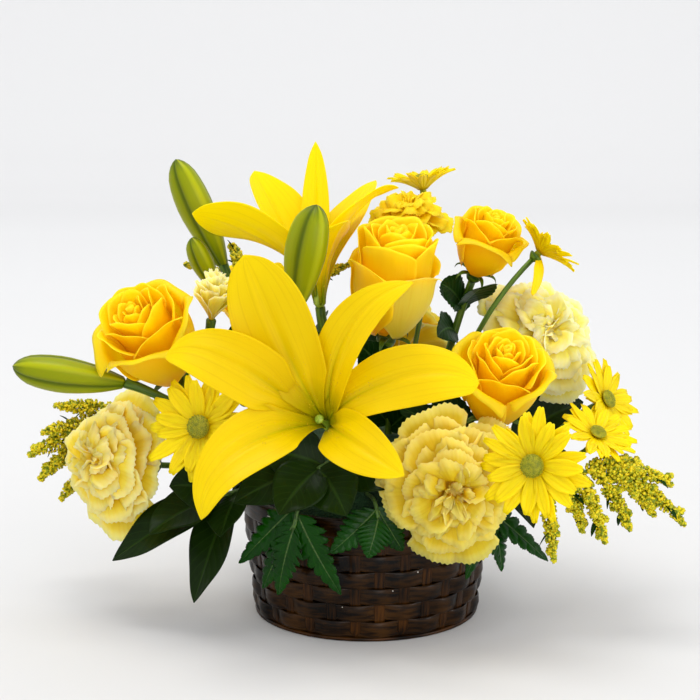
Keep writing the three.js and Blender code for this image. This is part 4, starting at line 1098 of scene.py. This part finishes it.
def carnation_tube(bm, head):
    """The long green tube under the petals, with small scales at its foot."""
    radius, length = 6.5 * head.size, neck_of(head)
    tube = [(0, 1), (0.35, 1), (0.62, 0.96), (0.8, 0.8), (0.92, 0.55), (0.96, 0.25)]
    mouth = [(1.04 * radius, -0.4), (0.9 * radius, 0.3), (0, 0.4)]
    turned(bm, [(r * radius, -z * length) for r, z in tube] + mouth, 18, head.seat)
    scales = [(0, 0.99), (0.55, 1), (0.84, 0.9), (0.9, 0.78), (0.78, 0.76), (0, 0.76)]
    turned(bm, [(r * radius, -z * length) for r, z in scales], 12, head.seat)


LEFT_FANS = [((-0.3, 0, -1), 1.16, 0.7), ((0.45, 0, -1), 1.18, 0.62), ((0, 0, 1), 1.12, 0.5)]
FRONT_FANS = [((-0.3, 0, 1), 1.16, 0.55), ((-0.15, 0, -1), 1.22, 0.5), ((0.3, 0, -1), 1.26, 0.46)]
FRONT_FANS += [((-1, 0, 0.3), 1.08, 0.5), ((0.66, 0, 0.75), 1.16, 0.3)]
RIGHT_FANS = [((0.4, 0, -1), 1.06, 0.5), ((1, 0, -0.2), 1.08, 0.46), ((-0.6, 0, 1), 1.1, 0.5)]
# name: seed, shade, hole in the foam, bloom, leaves on the stem
CARNATIONS = {
    "left": (
        21,
        "middle",
        at_side(172, 86),
        Head((-141, -9, 93), (-0.7, -0.65, 0.25), size=1.05, fans=LEFT_FANS),
        [],
    ),
    "front": (
        22,
        "deep",
        at_side(308, 92),
        Head((47, -68, 97), (0.05, -1, 0), size=1.06, neck=12, fans=FRONT_FANS),
        [],
    ),
    "right": (
        23,
        "pale",
        at_side(20, 96),
        Head((100, 26, 157), (0.4, -0.7, 0.55), size=1.06, fans=RIGHT_FANS),
        [],
    ),
    "small": (
        24,
        "pale",
        at_top(-35, -4),
        Head((-92, -14, 181), (0.15, -0.15, 1), size=0.46, petals=6, neck=14, upright=1.2),
        [(0.6, (-104, 4, 152)), (0.72, (-74, -6, 182)), (0.5, (-84, -22, 138))],
    ),
    "top": (
        25,
        "golden",
        at_top(4, 34),
        Head((26, 54, 224), (0, -0.3, 1), size=0.72, petals=7),
        [(0.5, (-14, 38, 182)), (0.68, (0, 44, 206))],
    ),
    "rear": (
        26,
        "middle",
        at_side(75, 100),
        Head((21, 84, 139), (0.2, 0.8, 0.5)),
        [(0.5, (-16, 84, 110)), (0.5, (56, 78, 114))],
    ),
}
for name, (seed, shade, place, head, leaves) in CARNATIONS.items():
    flower_stem("carnation", name, head, place, neck_of(head) - 1.5, carnation_tube, leaves, 9)
    bm = blank()
    carnation(bm, head, seed)
    piece(f"carnation_petals_{name}", bm, [carnation_finishes[shade]], f"carnation_{name}_bloom", 0.35)

# ---------- Daisies ----------
# Spray daisies. Two whorls of bright yellow rays, each ray grooved along its length and notched at its tip,
# stand round a domed green disc of tiny florets. The ones at the right share a branched stem.
daisy_finish = petal_finish(
    "daisy_ray", rgb(230, 184, 2), rgb(248, 212, 3), rgb(250, 218, 6), rgb(220, 172, 1), 12.0, 0.45, 0.44, 0.3
)
disc_green = [(0.35, rgb(122, 128, 8)), (0.65, rgb(164, 158, 12))]
disc_finish = plain_finish(
    "daisy_disc", 0.6, 500.0, disc_green, subsurface_weight=0.1, subsurface_scale=0.002
)


DAISY_RADIUS, RAY_HALF_WIDTH, DISC_RADIUS, STALK_DROP = 28, 4.1, 5.76, 3.6
FLORETS, GOLDEN_ANGLE = 110, radians(137.5)
# whorl: rays, share of the full length, height over the disc's foot
DAISY_WHORLS = [(13, 1.0, 0.0), (11, 0.86, 1.1)]


def daisy_rays(bm, head, seed):
    rng = random.Random(seed)
    size, cup = head.size, head.get("cup", 0.3)
    for whorl, (count, share, lift) in enumerate(DAISY_WHORLS):
        for k in range(count):
            middle = (k + 0.5 * whorl + rng.uniform(-0.22, 0.22)) * tau / count
            length = DAISY_RADIUS * size * share * rng.uniform(0.9, 1.04)
            half = RAY_HALF_WIDTH * size * rng.uniform(0.85, 1.1)
            droop, twist = rng.uniform(-0.08, 0.12), rng.uniform(-0.3, 0.3)

            def ray_place(u, v):
                s = 2 * u - 1
                notch = 0.035 * abs(sin(2.2 * s)) * (v > 0.9)
                along = 2.6 + (length - 2.6) * v * (1 + notch - 0.1 * abs(s) ** 3)
                wide = half * (0.3 + 0.7 * sin(min(1, 1.35 * v) * pi / 2)) * (1 - 0.5 * v**7)
                share = along / length
                z = 0.5 + lift + along * (cup * (1 - 0.35 * share) - droop * share)
                z += 0.4 * cos(2.6 * pi * s) * min(1, 3 * v) + (twist * s + 0.28 * s * s) * wide * v
                return head.seat @ (spoke(middle, along, z) + beside(middle) * s * wide)

            sheet(bm, 8, 9, ray_place)
    if "fallen" in head.traits:
        start, end = head.seat @ Vector((0, 0, 1)), Vector(head.traits["fallen"])
        rise, side = Vector((4, -5, 0)), Vector((0.8, 0.5, 0.2))
        leaf(bm, start, end, rise, side, lambda v, s: 3.4 * min(1, 0.3 + 2 * v) * (1 - 0.6 * v**5))


def daisy_disc(bm, head):
    """The domed disc in front of the rays, covered with florets on a spiral."""
    size, cup = head.size, head.get("cup", 0.3)
    disc, foot = DISC_RADIUS * size, 1.1 + cup * 4.8
    edge = foot + cup * disc
    profile = [(0, -0.5), (2.1, -0.5), (2.1, foot), (disc, edge + 0.4), (disc * 0.98, edge + 1.4)]
    profile += [(disc * 0.7, edge + 2.6 * size), (disc * 0.35, edge + 3.2 * size), (0, edge + 3.0 * size)]
    turned(bm, profile, 24, head.seat)
    for n in range(FLORETS):
        share = sqrt((n + 0.5) / FLORETS)
        turn, z = n * GOLDEN_ANGLE, edge + size * (3.2 - 1.9 * share**3) - 0.25
        middle, tilt = spoke(turn, disc * share * 0.98, z), Matrix.Rotation(0.5 * share, 4, beside(turn))
        floret = head.seat @ Matrix.Translation(middle) @ tilt
        turned(bm, [(0, -0.1), (0.36 * size, 0.1), (0.3 * size, 0.6), (0, 0.8 * size)], 5, floret)


def daisy_cup(bm, head):
    """The shallow green cup of bracts under the rays."""
    bracts = [(3.4, -3.2), (4.8, -1.6), (5.2, -0.3), (4.6, 0.1), (0, 0)]
    turned(bm, [(0, -4.4), (1.6, -4.4)] + [(r * head.size, z) for r, z in bracts], 20, head.seat)


# stem: hole in the foam, blooms by name with their seeds
DAISIES = {
    "left": (at_side(222, 92), {"left": (31, Head((-94, -70, 129), (-0.35, -0.9, 0.25), size=1.18))}),
    "right": (
        at_side(342, 86),
        {
            "right": (32, Head((92, -106, 116), (-0.35, -0.9, 0.12), size=1.16)),
            "right_upper": (33, Head((132, -50, 118), (0.3, -0.45, 0.8), size=0.85)),
            "right_outer": (34, Head((141, -8, 130), (0.72, -0.5, 0.45), size=0.95)),
        },
    ),
    "upper": (
        at_top(42, -12),
        {"upper": (35, Head((100, -10, 219), (0.7, 0.1, 0.7), size=0.8, cup=0.7, fallen=(97, -18, 196)))},
    ),
    "top": (at_top(22, 38), {"top": (36, Head((37, 95, 243), (-0.15, 0.05, 1), size=0.76, cup=1.0))}),
    "rear": (at_side(112, 92), {"rear": (37, Head((-42, 98, 128), (-0.3, 0.9, 0.3)))}),
}
for group, (place, blooms) in DAISIES.items():
    bm = blank()
    first, *others = [head for _, head in blooms.values()]
    path = first.stem_from(place, STALK_DROP)
    rod(bm, path, STEM_RADIUS["daisy"])
    for head in others:
        side_stalk(bm, path, 0.5, head.below(STALK_DROP), head.axis, 1.5)
    for head in (first, *others):
        daisy_cup(bm, head)
    solid_piece(f"daisy_stalk_{group}", bm, [stem_finish], f"daisy_{group}_stem")
    for name, (seed, head) in blooms.items():
        bm = blank()
        daisy_disc(bm, head)
        solid_piece(f"daisy_disc_{name}", bm, [disc_finish], f"daisy_{group}_stem")
        bm = blank()
        daisy_rays(bm, head, seed)
        piece(f"daisy_rays_{name}", bm, [daisy_finish], f"daisy_{name}_bloom", 0.4)

# ---------- Goldenrod ----------
# Arching sprays of goldenrod. Each green branchlet is crowded all along with tiny yellow heads, open at its
# foot and still in bud at its tip.
green_to_gold = [(0.36, rgb(112, 130, 6)), (0.47, rgb(196, 188, 8)), (0.6, rgb(238, 212, 12))]
goldenrod_finish = plain_finish(
    "goldenrod_head", 0.6, 420.0, green_to_gold, (1500.0, 0.3, 0.0004),
    subsurface_weight=0.15, subsurface_scale=0.002,
)
seed_head = bmesh.new()
bmesh.ops.create_uvsphere(seed_head, u_segments=4, v_segments=2, radius=0.9)
bmesh.ops.poke(seed_head, faces=seed_head.faces[:], offset=0.6)
head_mesh = bpy.data.meshes.new("goldenrod_head_shape")
seed_head.to_mesh(head_mesh)
seed_head.free()


def any_side(rng, way):
    return Matrix.Rotation(rng.uniform(0, tau), 3, way) @ way.orthogonal().normalized()


def plume(stalks, heads, rng, branch, thick, crowd):
    """Tiny heads crowded along a branchlet, closer and smaller towards its tip."""
    rod(stalks, branch, lambda t: 0.7 - 0.4 * t, sides=5, steps=10)
    count = round(branch.length * crowd)
    for n in range(count):
        t = 0.03 + 0.97 * (n + rng.random()) / count
        way = branch.way(t)
        out = (any_side(rng, way) + Vector((0, 0, 0.3))).normalized()
        reach = thick * sin(pi * min(1, 0.25 + 0.72 * t)) ** 0.7 * rng.uniform(0.3, 1.0)
        size = (1.1 - 0.25 * t) * rng.uniform(0.75, 1.15)
        copy = head_mesh.copy()
        where = Head(branch.at(t) + out * reach, out + way * 0.5).seat
        copy.transform(where @ Matrix.Diagonal((size, size, size * 1.35, 1)))
        heads.from_mesh(copy)
        bpy.data.meshes.remove(copy)


def goldenrod(name, place, points, branchlets, seed, thick):
    rng = random.Random(seed)
    main = runner(place, points)
    stalks, heads, leaves = blank(), bmesh.new(), blank()
    rod(stalks, main, lambda share: 1.4 - 0.7 * share, sides=7)
    for share, tip in branchlets:
        start, tip = main.at(share), Vector(tip)
        crest = start.lerp(tip, 0.55) + Vector((0, 0, 8))
        branch = Path((start, start.lerp(crest, 0.667), tip.lerp(crest, 0.667), tip))
        plume(stalks, heads, rng, branch, thick, 9.5)
        for k in range(5):
            t = 0.18 + 0.16 * k + rng.uniform(-0.04, 0.04)
            root, way = branch.at(t), branch.way(t)
            out = any_side(rng, way)
            towards = (out + way * 0.8 + Vector((0, 0, 0.2))).normalized()
            end = root + towards * rng.uniform(6, 9.5) * (1.1 - 0.5 * t)
            twiglet = Path((root, root.lerp(end, 0.4), root.lerp(end, 0.7), end))
            plume(stalks, heads, rng, twiglet, 0.55 * thick, 10.0)
            if k % 2:
                point = root + (way - out * 0.9).normalized() * 11
                side = (point - root).cross(Vector((0, 0, 1))).normalized()
                leaf(leaves, root, point, Vector((0, 0, 2)), side, broad(1.9), across=4, along=8)
    solid_piece(f"goldenrod_stalks_{name}", stalks, [stem_finish], f"goldenrod_{name}")
    piece(f"goldenrod_leaves_{name}", leaves, [rose_leaf_finish], f"goldenrod_{name}", 0.3, 1)
    piece(f"goldenrod_heads_{name}", heads, [goldenrod_finish], f"goldenrod_{name}")


# name: hole in the foam, way of the main stalk, branchlets as (place along it, tip), seed, plume's thickness
GOLDENRODS = {
    "right": (
        at_side(326, 84),
        [(75, -58, 92), (118, -66, 102), (146, -64, 99)],
        [(0.66, (108, -64, 47)), (0.74, (124, -68, 66)), (0.8, (137, -70, 60)), (0.88, (152, -64, 66))]
        + [(0.96, (166, -62, 74)), (0.99, (184, -60, 68)), (0.93, (176, -60, 92)), (0.84, (160, -52, 101))],
        41,
        4.8,
    ),
    "left": (
        at_side(156, 92),
        [(-110, 34, 104), (-162, 40, 100)],
        [(0.8, (-192, 24, 120)), (0.88, (-200, 20, 104)), (0.95, (-208, 18, 90)), (0.99, (-202, 20, 74))]
        + [(0.85, (-190, 24, 60))],
        42,
        6.6,
    ),
    "rear": (
        at_top(-26, 16),
        [(-45, 40, 160), (-80, 48, 196)],
        [(0.8, (-112, 40, 206)), (0.95, (-84, 66, 214)), (0.75, (-10, 38, 206))],
        43,
        4.8,
    ),
}
for name, spray in GOLDENRODS.items():
    goldenrod(name, *spray)

# ---------- Table, light and camera ----------
# A seamless pale paper sweep, two broad soft lights, a small fill light and an even room light. The camera
# stands in front, a little above the flowers.
# The paper's grey is painted darker towards the front and at the top of the sweep, and lightest up the back
# wall: painted shade for how the light falls off.
PAPER_PAINTED_FALLOFF = [
    (0.12, 0.63),
    (0.2, 0.67),
    (0.36, (0.73, 0.728, 0.725, 1)),
    (0.6, (0.82, 0.818, 0.815, 1)),
    (0.75, (0.85, 0.847, 0.843, 1)),
    (0.92, (0.8, 0.797, 0.793, 1)),
]
paper_finish, tree, shader = new_finish("pale_paper", 0.75)
place = put(tree, "SeparateXYZ", {0: put(tree, "TexCoord").outputs["Object"]})
back = maths(tree, "MULTIPLY_ADD", maths(tree, "ADD", place.outputs[1], place.outputs[2]), 0.32, 0.2)
tree.links.new(curve(tree, back, PAPER_PAINTED_FALLOFF), shader.inputs["Base Color"])


def sweep_place(u, v):
    turn = max(0, v - 0.625) / 0.375 * pi / 2
    y = -3500 + 5500 * min(1, v * 1.6) + 900 * sin(turn)
    return Vector(((u - 0.5) * 9000, y, 2800 * (1 - cos(turn))))


bm = blank()
sheet(bm, 1, 40, sweep_place)
smooth_object("paper_sweep", bm, [paper_finish])

world = bpy.data.worlds.new("room")
bpy.context.scene.world = world
world.use_nodes = True
world.node_tree.nodes["Background"].inputs[0].default_value = (0.965, 0.975, 1.0, 1)
world.node_tree.nodes["Background"].inputs[1].default_value = 1.03


def aimed(name, data, place, aim):
    """Puts a light or a camera in its place and turns it towards a point."""
    made = in_scene(name, data)
    made.location = place
    made.rotation_euler = (Vector(aim) - made.location).to_track_quat("-Z", "Y").to_euler()
    return made


def soft_light(name, place, aim, size, power, colour):
    lamp = bpy.data.lights.new(name, "AREA")
    lamp.shape, lamp.size, lamp.energy, lamp.color = "DISK", size, power, colour
    aimed(name, lamp, place, aim)


soft_light("key_light", (-0.3, -0.12, 1.7), (0, 0, 0.15), 0.9, 12, (1.0, 0.99, 0.96))
soft_light("front_light", (0.35, -1.65, 0.5), (0, 0, 0.15), 1.1, 7.5, (1.0, 0.99, 0.97))
soft_light("fill_light", (1.0, -0.42, 0.24), (0, 0, 0.1), 0.32, 2.2, (0.97, 0.98, 1.0))

view_settings = bpy.context.scene.view_settings
view_settings.view_transform = "Standard"
view_settings.look = "None"

lens = bpy.data.cameras.new("camera")
lens.sensor_width, lens.lens = 36, 102.9
bpy.context.scene.camera = aimed("camera", lens, (-0.010, -1.178, 0.389), (-0.010, 0, 0.160))
